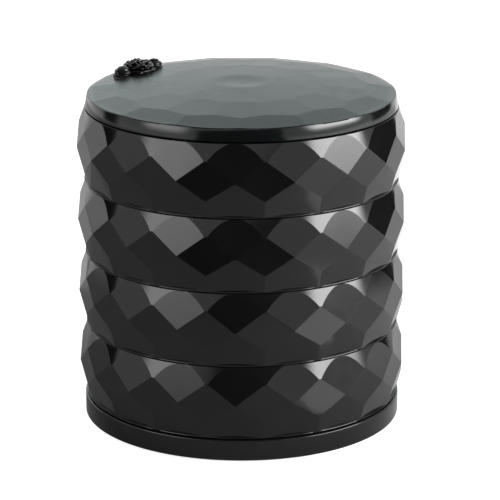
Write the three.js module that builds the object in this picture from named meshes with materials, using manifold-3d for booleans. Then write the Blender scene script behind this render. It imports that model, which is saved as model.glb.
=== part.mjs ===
// A rotating jewelry box: a drum of four faceted trays that swing one by one about an upright
// rod near the rim, between a round plinth and a faceted lid. A rosette caps the rod.
// Millimetres, +Z up. The origin is under the middle of the plinth, on the table.
// The front is -Y. An angle given "from the front" grows towards +X.
import * as THREE from 'three';
import { mergeVertices } from 'three/addons/utils/BufferGeometryUtils.js';
import Module from 'manifold-3d';

const wasm = await Module();
wasm.setup();

// The drum: every layer takes its outline from the radius of the lid
const lid_radius = 58;

// Plinth and feet
const base_reveal = 1.4;          // plinth beyond the lid
const base_height = 8.4;          // top of the plinth above the table
const base_edge_bevel = 0.5;
const base_top_thickness = 3.6;
const base_wall = 2.4;
const base_rib_thickness = 1.6;
const base_rib_count = 6;
const base_ring_inset = 33;       // from the edge to the round rib between the radial ones
const foot_proud = 0.6;           // feet below the rim of the plinth
const foot_radius = 5;
const foot_height = 2;
const foot_count = 4;
const foot_inset = 14.4;          // from the edge to the middle of a foot
const foot_pad_wall = 1.7;        // wall of the socket that a foot sits in
const foot_pad_inset = 0.4;       // the sockets end above the rim

// Layers
const tier_count = 4;
const tier_height = 27.1;
const joint_gap = 0.4;            // dark line between two layers
const neck_reveal = 0.2;          // rim of a tray beyond the lid
const crown_bulge = 3.2;          // corners of the widest row of facets beyond the rim
const lip_reveal = 0.6;           // lip at the foot of a tray beyond the lid
const tier_lip_height = 0.4;
const tier_wall = 2;
const tier_draft = 0.9;           // the inside narrows by this much from mouth to floor
const tier_floor_thickness = 2;
const tier_inner_bevel = 1.2;     // where the inner wall meets the floor
const facet_count = 18;
const facet_phase = 8;            // degrees from the front to a corner of the upper row
const upper_corner_share = 0.217; // how far down a tier each row of corners lies
const crown_corner_share = 0.51;
const lower_corner_share = 0.763;
const neck_tip_inset = 0.12;      // blunts the tips of the smooth triangles under the rim

// Lid
const lid_band_height = 4.2;
const lid_facet_count = 15;
const lid_rim_inset = 1.7;        // middle of an outer facet's rim, in from the band
const lid_rim_rise = 0.55;
const lid_outer_ring_width = 8.2;
const lid_outer_slope = 0.17;
const lid_middle_ring_width = 18.8;
const lid_middle_slope = 0.08;
const lid_inner_slope = 0.04;
const lid_dish_radius = 9.3;      // shallow dish in the middle
const lid_dish_depth = 0.35;
const lid_dish_steps = 3;
const lid_wall = 3.6;
const lid_recess_depth = 3.6;
const lid_recess_bevel = 1;

// Pivot: one steel rod that every layer swings about
const pivot_inset = 11.4;         // from the edge of the lid to the rod
const pivot_angle = 147;          // degrees, anticlockwise from +X
const rod_radius = 2;
const rod_clearance = 0.25;       // round the rod in every bore
const rod_head_radius = 4;
const rod_head_height = 2;
const rod_head_clearance = 0.4;
const rod_head_bevel = 0.4;
const rod_end_rise = 0.6;         // rod above the nut
const boss_wall = 2.75;
const boss_web_width = 6;
const base_boss_wall = 2.6;
const washer_inset = 0.4;         // edge of a friction washer in from the edge of the boss
const washer_clearance = 0.05;    // over and under each friction washer
const spring_washer_thickness = 0.4;
const nut_across_flats = 7;
const nut_sides = 6;
const nut_height = 2.4;
const nut_clearance = 0.4;        // round the corners of the nut
const stack_clearance = 0.1;      // between nut, spring washer and seat
const lid_boss_wall = 2;
const lid_seat_thickness = 3.1;   // lid under the spring washer

// Finial on the lid, over the end of the rod
const finial_turn = 50;           // degrees from +X to the line of the two leaves
const finial_gap = 0.3;           // between the finial and the faces of the lid
const finial_pad_overlap = 0.6;   // pad beyond the lid's pocket
const finial_pad_thickness = 1.5;
const finial_pad_bevel = 0.5;
const collar_clearance = 0.25;
const collar_wall = 0.7;
const rosette_inset = 0.3;        // tips of the outer petals in from the edge of the pad
const rosette_height = 3.1;
const whorls = [                  // rings of petals, from the outside in
  { count: 7, foot_share: 0.64, tip_share: 1, height_share: 0.5 },
  { count: 6, foot_share: 0.5, tip_share: 0.8, height_share: 0.74 },
  { count: 5, foot_share: 0.34, tip_share: 0.58, height_share: 0.9 },
  { count: 3, foot_share: 0.2, tip_share: 0.36, height_share: 1 },
];
const petal_overlap_share = 1.25;
const petal_thickness = 0.4;
const petal_lean = Math.PI / 3;
const petal_flare = 1.5;
const petal_taper_share = 0.82;
const petal_droop_share = 0.28;
const petal_rows = 2;
const petal_columns = 4;
const bud_radius = 1;
const bud_waist_share = 0.6;
const bud_tip_share = 0.4;
const leaf_reach = 2.7;           // middle of a leaf from the edge of the pad
const leaf_length = 7.4;
const leaf_width = 7;
const leaf_height = 4.1;
const leaf_rise = 1.05;           // foot of a leaf above the rim of the lid
const leaf_tip_share = 0.1;
const leaf_tip_power = 8;          // the higher, the narrower the tip
const leaf_pleat_depth = 0.22;
const leaf_pleat_count = 5;
const leaf_rows = 4;
const leaf_columns = 20;

// What lies in the trays
const soft_gap = 0.2;
const liner_thickness = 1.2;
const divider_thickness = 1.6;
const divider_headroom = 4.5;     // from a divider to the mouth of its tray
const divider_clearance = 0.5;
const divider_foot_width = 5;
const divider_foot_height = 1.2;
const cushion_headroom = 8.5;
const cushion_roll_count = 4;
const cushion_slit_width = 1;
const cushion_slit_depth = 8;
const cushion_crown = 2.4;
const cushion_side_gap = 1.2;
const cushion_roll_segments = 8;
const cushion_front_share = 0.04; // straight side of the cushion, before the tray's middle

// Fineness of round surfaces and the overrun of a cut
const fine_segments = 54;
const round_segments = 48;
const small_segments = 16;
const overrun = 1;
const merge_distance = 1e-4;

// Worked out from the sizes above
const base_radius = lid_radius + base_reveal;
const base_ring_radius = base_radius - base_ring_inset;
const foot_circle_radius = base_radius - foot_inset;
const tier_pitch = tier_height + joint_gap;
const tier_top_radius = lid_radius + neck_reveal;
const tier_crown_radius = tier_top_radius + crown_bulge;
const tier_lip_radius = lid_radius + lip_reveal;
const tier_mouth_radius = tier_top_radius - tier_wall;
const tier_floor_radius = tier_mouth_radius - tier_draft;
const facet_step = (2 * Math.PI) / facet_count;
const lid_bottom = base_height + joint_gap + tier_count * tier_pitch;
const lid_facet_step = (2 * Math.PI) / lid_facet_count;
const lid_half_step_share = Math.cos(lid_facet_step / 2);
const lid_recess_radius = lid_radius - lid_wall;
const lid_rim_radius = lid_radius - lid_rim_inset;
const lid_rim_height = lid_band_height + lid_rim_rise;
const lid_middle_radius = lid_rim_radius - lid_outer_ring_width;
const lid_middle_height = lid_rim_height
  + lid_outer_slope * (lid_rim_radius - lid_middle_radius * lid_half_step_share);
const lid_inner_radius = lid_middle_radius - lid_middle_ring_width;
const lid_inner_height = lid_middle_height + lid_middle_slope * (lid_middle_radius - lid_inner_radius);
const lid_top_height = lid_inner_height
  + lid_inner_slope * (lid_inner_radius * lid_half_step_share - lid_dish_radius);
const pivot_radius = lid_radius - pivot_inset;
const pivot_turn = THREE.MathUtils.degToRad(pivot_angle);
const pivot_x = pivot_radius * Math.cos(pivot_turn);
const pivot_y = pivot_radius * Math.sin(pivot_turn);
const bore_radius = rod_radius + rod_clearance;
const boss_radius = bore_radius + boss_wall;
const base_boss_radius = rod_head_radius + rod_head_clearance + base_boss_wall;
const washer_radius = boss_radius - washer_inset;
const nut_corner_radius = nut_across_flats / 2 / Math.cos(Math.PI / nut_sides);
const spring_washer_radius = nut_corner_radius;
const collar_inner = nut_corner_radius + nut_clearance;
const collar_outer = collar_inner + collar_wall;
const lid_pocket_radius = collar_outer + collar_clearance;
const lid_boss_radius = lid_pocket_radius + lid_boss_wall;
const nut_bottom = lid_seat_thickness + 2 * stack_clearance + spring_washer_thickness;
const rod_bottom = foot_proud + foot_pad_inset + rod_clearance;
const rod_top = lid_bottom + nut_bottom + nut_height + rod_end_rise;
const lid_land_height = lid_middle_height + lid_middle_slope * (lid_middle_radius - pivot_radius);
const finial_pad_radius = lid_pocket_radius + finial_pad_overlap;
const rosette_radius = finial_pad_radius - rosette_inset;
const rosette_core_radius = rosette_radius * whorls[0].foot_share;
const leaf_offset = finial_pad_radius + leaf_reach;
const leaf_foot_height = lid_rim_height + leaf_rise;
const liner_bottom = tier_floor_thickness + soft_gap;
const insert_bottom = liner_bottom + liner_thickness + soft_gap;
const divider_height = tier_height - insert_bottom - divider_headroom;
const cushion_height = tier_height - insert_bottom - cushion_headroom;

// Finishes
const finish = (color, roughness, metalness) =>
  new THREE.MeshStandardMaterial({ color, roughness, metalness });
const gloss_black = finish(0x121416, 0.16, 0);
const lid_black = finish(0x17201f, 0.12, 0);
const finial_black = finish(0x1b1c1e, 0.25, 0);
const steel = finish(0xa9adb0, 0.35, 1);
const acetal = finish(0xd9d8d2, 0.5, 0);
const rubber = finish(0x232323, 0.85, 0);
const velvet = finish(0x3b3d42, 0.95, 0);
const divider_black = finish(0x1a1b1d, 0.4, 0);

// Solids: a closed geometry becomes a solid that can be joined and cut, and back again
function to_solid(geometry) {
  const plain = geometry.clone();
  plain.deleteAttribute('normal');
  plain.deleteAttribute('uv');
  const merged = mergeVertices(plain, merge_distance);
  const index = merged.index.array;
  const kept = [];
  for (let i = 0; i < index.length; i += 3) {
    const [a, b, c] = [index[i], index[i + 1], index[i + 2]];
    if (a !== b && b !== c && c !== a) kept.push(a, b, c);
  }
  return new wasm.Manifold(new wasm.Mesh({
    numProp: 3,
    vertProperties: new Float32Array(merged.attributes.position.array),
    triVerts: new Uint32Array(kept),
  }));
}

function to_geometry(solid) {
  const mesh = solid.getMesh();
  const geometry = new THREE.BufferGeometry();
  geometry.setAttribute('position', new THREE.BufferAttribute(mesh.vertProperties, 3));
  geometry.setIndex(new THREE.BufferAttribute(mesh.triVerts, 1));
  geometry.computeVertexNormals();
  return geometry;
}

function join(solids) {
  return solids.reduce((whole, next) => whole.add(next));
}

function cut(solid, cutters) {
  return cutters.reduce((rest, next) => rest.subtract(next), solid);
}

// A profile of [radius, height] points, from the axis at the foot to the axis at the top, turned
// about Z
function revolve(profile, segments) {
  const points = profile.map(([radius, height]) => new THREE.Vector2(radius, height));
  const geometry = new THREE.LatheGeometry(points, segments);
  geometry.rotateX(Math.PI / 2);
  return to_solid(geometry);
}

function disc(radius, bottom, top, segments) {
  return revolve([[0, bottom], [radius, bottom], [radius, top], [0, top]], segments);
}

function at(solid, x, y) {
  return solid.translate([x, y, 0]);
}

function at_pivot(solid) {
  return at(solid, pivot_x, pivot_y);
}

// An upright block whose length runs from the axis outwards at a turn in radians
function spoke(from, to, width, bottom, top, turn) {
  const geometry = new THREE.BoxGeometry(to - from, width, top - bottom);
  geometry.translate((from + to) / 2, 0, (bottom + top) / 2);
  geometry.rotateZ(turn);
  return to_solid(geometry);
}

// Everything beyond a flat face that stands at a radius and a height. lean is the angle from
// level of the face's outward direction.
function beyond_face(radius, height, lean, turn, reach) {
  const geometry = new THREE.BoxGeometry(reach, 2 * reach, 2 * reach);
  geometry.translate(reach / 2, 0, 0);
  geometry.rotateY(-lean);
  geometry.translate(radius, 0, height);
  geometry.rotateZ(turn);
  return to_solid(geometry);
}

function from_front(degrees) {
  return THREE.MathUtils.degToRad(degrees) - Math.PI / 2;
}

// Cuts a ring of equal flat faces
function cut_ring(solid, count, first_turn, radius, height, lean, reach) {
  const cutters = [];
  for (let i = 0; i < count; i += 1) {
    const turn = first_turn + (i * 2 * Math.PI) / count;
    cutters.push(beyond_face(radius, height, lean, turn, reach));
  }
  return cut(solid, cutters);
}

// Tier wall: a smooth neck under the rim and three rows of flat faces below it. The rows share
// corners, each row half a step round from the next, so the kites of the middle row stand
// upright and the rows over and under them lean in.
function faceted_drum() {
  const crown_height = tier_height * (1 - crown_corner_share);
  const upper_height = tier_height * (1 - upper_corner_share);
  const lower_height = tier_height * (1 - lower_corner_share);
  const kite_radius = tier_crown_radius * Math.cos(facet_step / 2);
  const side_radius = kite_radius * Math.cos(facet_step / 2);
  const upper_lean = Math.atan2(tier_crown_radius - side_radius, upper_height - crown_height);
  const lower_lean = Math.atan2(tier_crown_radius - side_radius, crown_height - lower_height);
  const neck_slope = (kite_radius - neck_tip_inset - tier_top_radius) / (tier_height - upper_height);
  const blank_radius = tier_crown_radius + overrun;
  const blank_height = tier_height - (blank_radius - tier_top_radius) / neck_slope;
  const corner_turn = from_front(facet_phase);
  const crown_turn = corner_turn + facet_step / 2;
  const reach = 2 * tier_height;

  let drum = revolve([
    [0, 0],
    [blank_radius, 0],
    [blank_radius, blank_height],
    [tier_top_radius, tier_height],
    [0, tier_height],
  ], fine_segments);
  drum = cut_ring(drum, facet_count, crown_turn, tier_crown_radius, crown_height, upper_lean, reach);
  drum = cut_ring(drum, facet_count, corner_turn, kite_radius, crown_height, 0, reach);
  drum = cut_ring(drum, facet_count, crown_turn, tier_crown_radius, crown_height, -lower_lean, reach);
  return drum.add(disc(tier_lip_radius, 0, tier_lip_height, fine_segments));
}

function tray_cavity() {
  return revolve([
    [0, tier_floor_thickness],
    [tier_floor_radius - tier_inner_bevel, tier_floor_thickness],
    [tier_floor_radius, tier_floor_thickness + tier_inner_bevel],
    [tier_mouth_radius, tier_height],
    [tier_mouth_radius, tier_height + overrun],
    [0, tier_height + overrun],
  ], round_segments);
}

// The round post that the rod runs through, with the web that ties it to the wall
function pivot_post() {
  const post = at_pivot(disc(boss_radius, 0, tier_height, small_segments));
  const web = spoke(pivot_radius, tier_mouth_radius + overrun, boss_web_width, 0, tier_height, pivot_turn);
  return post.add(web);
}

function rod_bore(bottom, top) {
  return at_pivot(disc(bore_radius, bottom - overrun, top + overrun, small_segments));
}

function tray() {
  const shell = faceted_drum().subtract(tray_cavity()).add(pivot_post());
  return shell.subtract(rod_bore(0, tier_height));
}

// The floor plan inside a tray, kept clear of the wall and of the pivot post
function tray_floor_plan(clearance, bottom, top) {
  const inside = disc(tier_floor_radius - tier_inner_bevel - clearance, bottom, top, round_segments);
  const post = at_pivot(disc(boss_radius + clearance, bottom - overrun, top + overrun, small_segments));
  const web = spoke(
    pivot_radius, tier_mouth_radius + overrun, boss_web_width + 2 * clearance,
    bottom - overrun, top + overrun, pivot_turn,
  );
  return inside.subtract(post).subtract(web);
}

function liner() {
  return tray_floor_plan(soft_gap, liner_bottom, liner_bottom + liner_thickness);
}

// One wall of a divider with the low foot that keeps it upright
function divider_wall(turn) {
  const reach = tier_floor_radius;
  const bottom = insert_bottom;
  const wall = spoke(0, reach, divider_thickness, bottom, bottom + divider_height, turn);
  return wall.add(spoke(0, reach, divider_foot_width, bottom, bottom + divider_foot_height, turn));
}

const t_walls = [0, Math.PI, -Math.PI / 2];
const cross_walls = [0, Math.PI / 2, Math.PI, -Math.PI / 2];

function divider(wall_turns) {
  const top = insert_bottom + divider_height;
  const hub = disc(divider_foot_width / 2, insert_bottom, top, small_segments);
  const plan = tray_floor_plan(divider_clearance, insert_bottom - overrun, top + overrun);
  return join([hub, ...wall_turns.map(divider_wall)]).intersect(plan);
}

// Foam rolls side by side with a slit between each two, to hold rings. The outline across the
// rolls is drawn once, run along them and trimmed to the tray.
function ring_cushion() {
  const near = -tier_floor_radius * cushion_front_share;
  const far = -tier_floor_radius + tier_inner_bevel + cushion_side_gap;
  const roll_pitch = (near - far + cushion_slit_width) / cushion_roll_count;
  const roll_width = roll_pitch - cushion_slit_width;
  const shoulder = cushion_height - cushion_crown;
  const shape = new THREE.Shape();
  shape.moveTo(near, 0);
  for (let i = 0; i < cushion_roll_count; i += 1) {
    const start = near - i * roll_pitch;
    const end = start - roll_width;
    shape.lineTo(start, shoulder);
    shape.bezierCurveTo(start, cushion_height, end, cushion_height, end, shoulder);
    if (i < cushion_roll_count - 1) {
      shape.lineTo(end, cushion_height - cushion_slit_depth);
      shape.lineTo(end - cushion_slit_width, cushion_height - cushion_slit_depth);
    } else {
      shape.lineTo(end, 0);
    }
  }
  shape.closePath();
  const length = 2 * tier_floor_radius;
  const geometry = new THREE.ExtrudeGeometry(shape, {
    depth: length,
    bevelEnabled: false,
    curveSegments: cushion_roll_segments,
  });
  geometry.translate(0, 0, -length / 2);
  geometry.rotateX(Math.PI / 2);
  geometry.rotateZ(Math.PI / 2);
  geometry.translate(0, 0, insert_bottom);
  const top = insert_bottom + cushion_height;
  const plan = tray_floor_plan(cushion_side_gap, insert_bottom - overrun, top + overrun);
  return to_solid(geometry).intersect(plan);
}

// Plinth
function foot_place(i) {
  const turn = pivot_turn + ((i + 0.5) * 2 * Math.PI) / foot_count;
  return [foot_circle_radius * Math.cos(turn), foot_circle_radius * Math.sin(turn)];
}

function base_underside() {
  const ceiling = base_height - base_top_thickness;
  const pad_bottom = foot_proud + foot_pad_inset;
  const kept = [
    disc(base_ring_radius + base_rib_thickness / 2, pad_bottom, ceiling + overrun, round_segments)
      .subtract(disc(base_ring_radius - base_rib_thickness / 2, 0, base_height, round_segments)),
    at_pivot(disc(base_boss_radius, pad_bottom, ceiling + overrun, small_segments)),
  ];
  for (let i = 0; i < base_rib_count; i += 1) {
    const turn = pivot_turn + (i * 2 * Math.PI) / base_rib_count;
    kept.push(spoke(base_ring_radius, base_radius - base_wall + overrun, base_rib_thickness,
      pad_bottom, ceiling + overrun, turn));
  }
  for (let i = 0; i < foot_count; i += 1) {
    const [x, y] = foot_place(i);
    kept.push(at(disc(foot_radius + foot_pad_wall, pad_bottom, ceiling + overrun, small_segments), x, y));
  }
  const hollow = disc(base_radius - base_wall, 0, ceiling, round_segments);
  return hollow.subtract(join(kept));
}

function base_plinth() {
  const blank = revolve([
    [0, foot_proud],
    [base_radius - base_edge_bevel, foot_proud],
    [base_radius, foot_proud + base_edge_bevel],
    [base_radius, base_height - base_edge_bevel],
    [base_radius - base_edge_bevel, base_height],
    [0, base_height],
  ], fine_segments);
  const pad_bottom = foot_proud + foot_pad_inset;
  const head_pocket = disc(rod_head_radius + rod_head_clearance, pad_bottom - overrun,
    rod_bottom + rod_head_height + stack_clearance, small_segments);
  const sockets = [];
  for (let i = 0; i < foot_count; i += 1) {
    const [x, y] = foot_place(i);
    const top = foot_height + soft_gap;
    sockets.push(at(disc(foot_radius + soft_gap, foot_proud - overrun, top, small_segments), x, y));
  }
  return cut(blank, [base_underside(), at_pivot(head_pocket), rod_bore(foot_proud, base_height), ...sockets]);
}

function foot() {
  return disc(foot_radius, 0, foot_height, small_segments);
}

// Rod, nut and washers, drawn about the rod's own axis
function pivot_rod() {
  const head_top = rod_bottom + rod_head_height;
  return revolve([
    [0, rod_bottom],
    [rod_head_radius - rod_head_bevel, rod_bottom],
    [rod_head_radius, rod_bottom + rod_head_bevel],
    [rod_head_radius, head_top],
    [rod_radius, head_top],
    [rod_radius, rod_top],
    [0, rod_top],
  ], small_segments);
}

function ring(outer, inner, bottom, top) {
  return disc(outer, bottom, top, small_segments)
    .subtract(disc(inner, bottom - overrun, top + overrun, small_segments));
}

function friction_washer() {
  return ring(washer_radius, bore_radius, 0, joint_gap - 2 * washer_clearance);
}

function spring_washer() {
  return ring(spring_washer_radius, bore_radius, 0, spring_washer_thickness);
}

function rod_nut() {
  const hexagon = disc(nut_corner_radius, 0, nut_height, nut_sides);
  const hole = disc(rod_radius + washer_clearance, -overrun, nut_height + overrun, small_segments);
  return hexagon.subtract(hole);
}

// Lid: rings of flat faces, half a step round from each other, over a smooth band. A round bevel
// trims the rim where the outer faces run past it.
function lid_dome() {
  const outer_turn = from_front(0) + lid_facet_step / 2;
  const middle_turn = from_front(0);
  const reach = 2 * lid_radius;
  const outer_lean = Math.atan2(1, lid_outer_slope);
  const middle_lean = Math.atan2(1, lid_middle_slope);
  const inner_lean = Math.atan2(1, lid_inner_slope);
  const blank = revolve([
    [0, 0],
    [lid_radius, 0],
    [lid_radius, lid_band_height],
    [lid_radius - lid_rim_rise, lid_rim_height],
    [lid_radius - lid_rim_rise, lid_top_height],
    [0, lid_top_height],
  ], fine_segments);
  const inner_radius = lid_inner_radius * lid_half_step_share;
  const count = lid_facet_count;
  let dome = cut_ring(blank, count, outer_turn, lid_rim_radius, lid_rim_height, outer_lean, reach);
  dome = cut_ring(dome, count, middle_turn, lid_middle_radius, lid_middle_height, middle_lean, reach);
  return cut_ring(dome, count, outer_turn, inner_radius, lid_inner_height, inner_lean, reach);
}

function lid_dish() {
  const profile = [];
  for (let i = 0; i <= lid_dish_steps; i += 1) {
    const share = i / lid_dish_steps;
    profile.push([lid_dish_radius * share, lid_top_height - lid_dish_depth * (1 - share ** 2)]);
  }
  profile.push([lid_dish_radius, lid_top_height + overrun], [0, lid_top_height + overrun]);
  return revolve(profile, small_segments);
}

function lid() {
  const recess = revolve([
    [0, -overrun],
    [lid_recess_radius, -overrun],
    [lid_recess_radius, lid_recess_depth - lid_recess_bevel],
    [lid_recess_radius - lid_recess_bevel, lid_recess_depth],
    [0, lid_recess_depth],
  ], round_segments);
  const boss = at_pivot(disc(lid_boss_radius, -overrun, lid_recess_depth + overrun, small_segments));
  const above = lid_top_height + overrun;
  const pocket = at_pivot(disc(lid_pocket_radius, lid_seat_thickness, above, small_segments));
  return cut(lid_dome(), [recess.subtract(boss), lid_dish(), pocket, rod_bore(0, lid_top_height)]);
}

// A closed sheet from a grid of points on its outer side and one on its inner side
function sheet(rows, columns, outer_point, inner_point) {
  const positions = [];
  for (const point of [outer_point, inner_point]) {
    for (let j = 0; j <= rows; j += 1) {
      for (let i = 0; i <= columns; i += 1) positions.push(...point(j / rows, i / columns));
    }
  }
  const wide = columns + 1;
  const inner = wide * (rows + 1);
  const faces = [];
  const quad = (a, b, c, d) => faces.push(a, b, c, a, c, d);
  for (let j = 0; j < rows; j += 1) {
    for (let i = 0; i < columns; i += 1) {
      const a = j * wide + i;
      quad(a, a + 1, a + 1 + wide, a + wide);
      quad(inner + a, inner + a + wide, inner + a + 1 + wide, inner + a + 1);
    }
    const left = j * wide;
    const right = left + columns;
    quad(left, left + wide, inner + left + wide, inner + left);
    quad(right, inner + right, inner + right + wide, right + wide);
  }
  for (let i = 0; i < columns; i += 1) {
    const top = rows * wide + i;
    quad(i, inner + i, inner + i + 1, i + 1);
    quad(top, top + 1, inner + top + 1, inner + top);
  }
  const geometry = new THREE.BufferGeometry();
  geometry.setAttribute('position', new THREE.Float32BufferAttribute(positions, 3));
  geometry.setIndex(faces);
  return to_solid(geometry);
}

// A cupped petal that rises from a foot circle and leans out to a round tip
function petal(foot, tip_radius, tip_height, half_angle, turn) {
  const point = (offset) => (rise, share) => {
    const across = 2 * share - 1;
    const angle = turn + across * half_angle * Math.sqrt(1 - petal_taper_share * rise ** 4);
    const lean = petal_lean * rise;
    const radius = foot + (tip_radius - foot) * rise ** petal_flare - offset * Math.cos(lean);
    const fall = 1 - petal_droop_share * across ** 2 * rise;
    const height = tip_height * Math.sin((rise * Math.PI) / 2) * fall + offset * Math.sin(lean);
    return [radius * Math.cos(angle), radius * Math.sin(angle), height];
  };
  return sheet(petal_rows, petal_columns, point(0), point(petal_thickness));
}

function whorl(count, foot, tip_radius, tip_height, first_turn) {
  const petals = [];
  for (let i = 0; i < count; i += 1) {
    const turn = first_turn + (i * 2 * Math.PI) / count;
    const half_angle = (petal_overlap_share * Math.PI) / count;
    petals.push(petal(foot, tip_radius, tip_height, half_angle, turn));
  }
  return petals;
}

// Rings of petals round a bud, each half a petal round from the last
function rosette() {
  const bud = revolve([
    [0, 0],
    [rosette_core_radius, 0],
    [bud_radius, rosette_height * bud_waist_share],
    [bud_radius * bud_tip_share, rosette_height],
    [0, rosette_height],
  ], small_segments / 2);
  const petals = whorls.flatMap(({ count, foot_share, tip_share, height_share }, i) => whorl(
    count, rosette_radius * foot_share, rosette_radius * tip_share,
    rosette_height * height_share, (i * Math.PI) / count,
  ));
  return join([bud, ...petals]);
}

// A rounded leaf with pleats that run from the rosette to its tip
function leaf(side) {
  const positions = [];
  for (let j = 0; j < leaf_rows; j += 1) {
    const rise = (j / leaf_rows) * (Math.PI / 2);
    for (let i = 0; i < leaf_columns; i += 1) {
      const round = (i * 2 * Math.PI) / leaf_columns;
      const across = Math.sin(round);
      const tip = 1 + leaf_tip_share * Math.max(0, Math.cos(round)) ** leaf_tip_power;
      const pleat = leaf_pleat_depth * Math.cos(across * Math.PI * leaf_pleat_count) * Math.sin(rise);
      positions.push(
        (leaf_length / 2) * Math.cos(rise) * Math.cos(round) * tip,
        (leaf_width / 2) * Math.cos(rise) * across,
        leaf_height * Math.sin(rise) + pleat,
      );
    }
  }
  const top = leaf_rows * leaf_columns;
  positions.push(0, 0, leaf_height, 0, 0, 0);
  const faces = [];
  for (let i = 0; i < leaf_columns; i += 1) {
    const next = (i + 1) % leaf_columns;
    for (let j = 0; j < leaf_rows - 1; j += 1) {
      const [a, b] = [j * leaf_columns + i, j * leaf_columns + next];
      faces.push(a, b, b + leaf_columns, a, b + leaf_columns, a + leaf_columns);
    }
    faces.push((leaf_rows - 1) * leaf_columns + i, (leaf_rows - 1) * leaf_columns + next, top);
    faces.push(next, i, top + 1);
  }
  const geometry = new THREE.BufferGeometry();
  geometry.setAttribute('position', new THREE.Float32BufferAttribute(positions, 3));
  geometry.setIndex(faces);
  geometry.translate(leaf_offset, 0, 0);
  geometry.rotateZ(side);
  return to_solid(geometry);
}

// Pad with a collar that plugs into the lid's pocket round the nut, and a leaf at either side.
// Its underside follows the lid.
function finial_base() {
  const pad_top = lid_land_height + finial_pad_thickness;
  const pad = revolve([
    [0, leaf_foot_height],
    [finial_pad_radius, leaf_foot_height],
    [finial_pad_radius, pad_top - finial_pad_bevel],
    [finial_pad_radius - finial_pad_bevel, pad_top],
    [0, pad_top],
  ], small_segments);
  const turn = THREE.MathUtils.degToRad(finial_turn);
  const leaves = [leaf(turn), leaf(turn + Math.PI)].map((solid) => solid.translate([0, 0, leaf_foot_height]));
  const collar = disc(collar_outer, lid_seat_thickness + collar_clearance, lid_land_height, small_segments);
  const socket_top = nut_bottom + nut_height + rod_end_rise + stack_clearance;
  const socket = disc(collar_inner, 0, socket_top, small_segments);
  const above_lid = lid_dome().translate([-pivot_x, -pivot_y, finial_gap]);
  return join([pad, ...leaves]).subtract(above_lid).add(collar).subtract(socket);
}

// Assembly
function piece(name, solid, material, x = 0, y = 0, z = 0) {
  const mesh = new THREE.Mesh(to_geometry(solid), material);
  mesh.name = name;
  mesh.position.set(x, y, z);
  return mesh;
}

function base_group() {
  const group = new THREE.Group();
  group.add(piece('base_plinth', base_plinth(), gloss_black));
  for (let i = 0; i < foot_count; i += 1) {
    group.add(piece(`foot_${i + 1}`, foot(), rubber, ...foot_place(i)));
  }
  group.add(piece('pivot_rod', pivot_rod(), steel, pivot_x, pivot_y));
  for (let i = 0; i <= tier_count; i += 1) {
    const bottom = base_height + i * tier_pitch + washer_clearance;
    group.add(piece(`friction_washer_${i + 1}`, friction_washer(), acetal, pivot_x, pivot_y, bottom));
  }
  const spring_bottom = lid_bottom + lid_seat_thickness + stack_clearance;
  group.add(piece('spring_washer', spring_washer(), steel, pivot_x, pivot_y, spring_bottom));
  group.add(piece('rod_nut', rod_nut(), steel, pivot_x, pivot_y, lid_bottom + nut_bottom));
  return group;
}

// From the bottom up: an open tray, one with a T-shaped divider, one with a cross and, at the
// top, one with rolls for rings
function tier_group(index) {
  const group = new THREE.Group();
  const place = ['bottom', 'lower', 'upper', 'top'][index];
  group.position.z = base_height + joint_gap + index * tier_pitch;
  group.add(piece(`${place}_tray`, tray(), gloss_black));
  group.add(piece(`${place}_liner`, liner(), velvet));
  if (index === 1) group.add(piece('t_divider', divider(t_walls), divider_black));
  if (index === 2) group.add(piece('cross_divider', divider(cross_walls), divider_black));
  if (index === 3) group.add(piece('ring_cushion', ring_cushion(), velvet));
  return group;
}

function lid_group() {
  const group = new THREE.Group();
  group.position.z = lid_bottom;
  group.add(piece('lid', lid(), lid_black));
  group.add(piece('finial_base', finial_base(), finial_black, pivot_x, pivot_y));
  const rosette_bottom = lid_land_height + finial_pad_thickness;
  group.add(piece('finial_rosette', rosette(), finial_black, pivot_x, pivot_y, rosette_bottom));
  return group;
}

const jewelry_box = new THREE.Group();
jewelry_box.add(base_group());
for (let i = 0; i < tier_count; i += 1) jewelry_box.add(tier_group(i));
jewelry_box.add(lid_group());

export default jewelry_box;
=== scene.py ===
# %% [markdown]
# # A rotating jewelry box
# Four faceted trays stand on a round plinth under a faceted lid, and each swings out about one
# upright rod near the rim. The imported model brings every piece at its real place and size. It is
# coarse, with a few dozen sides to a circle, so most pieces are made again here with fine
# curves, rounded edges and a finish, inside the same outlines.

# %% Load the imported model
import math

import bmesh
import bpy
from mathutils import Matrix, Vector, noise


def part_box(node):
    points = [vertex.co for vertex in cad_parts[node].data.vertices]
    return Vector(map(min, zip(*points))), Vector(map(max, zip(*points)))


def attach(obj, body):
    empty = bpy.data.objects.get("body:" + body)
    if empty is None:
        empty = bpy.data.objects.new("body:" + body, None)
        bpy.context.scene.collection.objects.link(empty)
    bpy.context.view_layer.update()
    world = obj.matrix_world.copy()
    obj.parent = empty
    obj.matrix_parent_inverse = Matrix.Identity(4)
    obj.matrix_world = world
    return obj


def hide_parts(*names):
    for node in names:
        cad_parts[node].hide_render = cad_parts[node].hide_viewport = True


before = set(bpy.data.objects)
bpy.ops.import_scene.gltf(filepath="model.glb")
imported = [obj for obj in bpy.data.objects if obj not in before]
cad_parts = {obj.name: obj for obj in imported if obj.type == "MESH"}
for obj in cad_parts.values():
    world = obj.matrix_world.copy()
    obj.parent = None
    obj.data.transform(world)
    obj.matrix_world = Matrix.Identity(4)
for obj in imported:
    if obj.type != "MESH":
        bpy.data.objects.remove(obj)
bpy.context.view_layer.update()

# %% [markdown]
# ## Sizes
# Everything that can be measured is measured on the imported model, so that a new pack moves the
# pieces here too: the radius of the lid, the height of a tray, where the rod stands and where
# each layer starts. What can't be read off a box, such as the share of a tray's height at which
# a row of corners lies, is a named value.

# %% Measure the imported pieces
MM = 0.001

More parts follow.
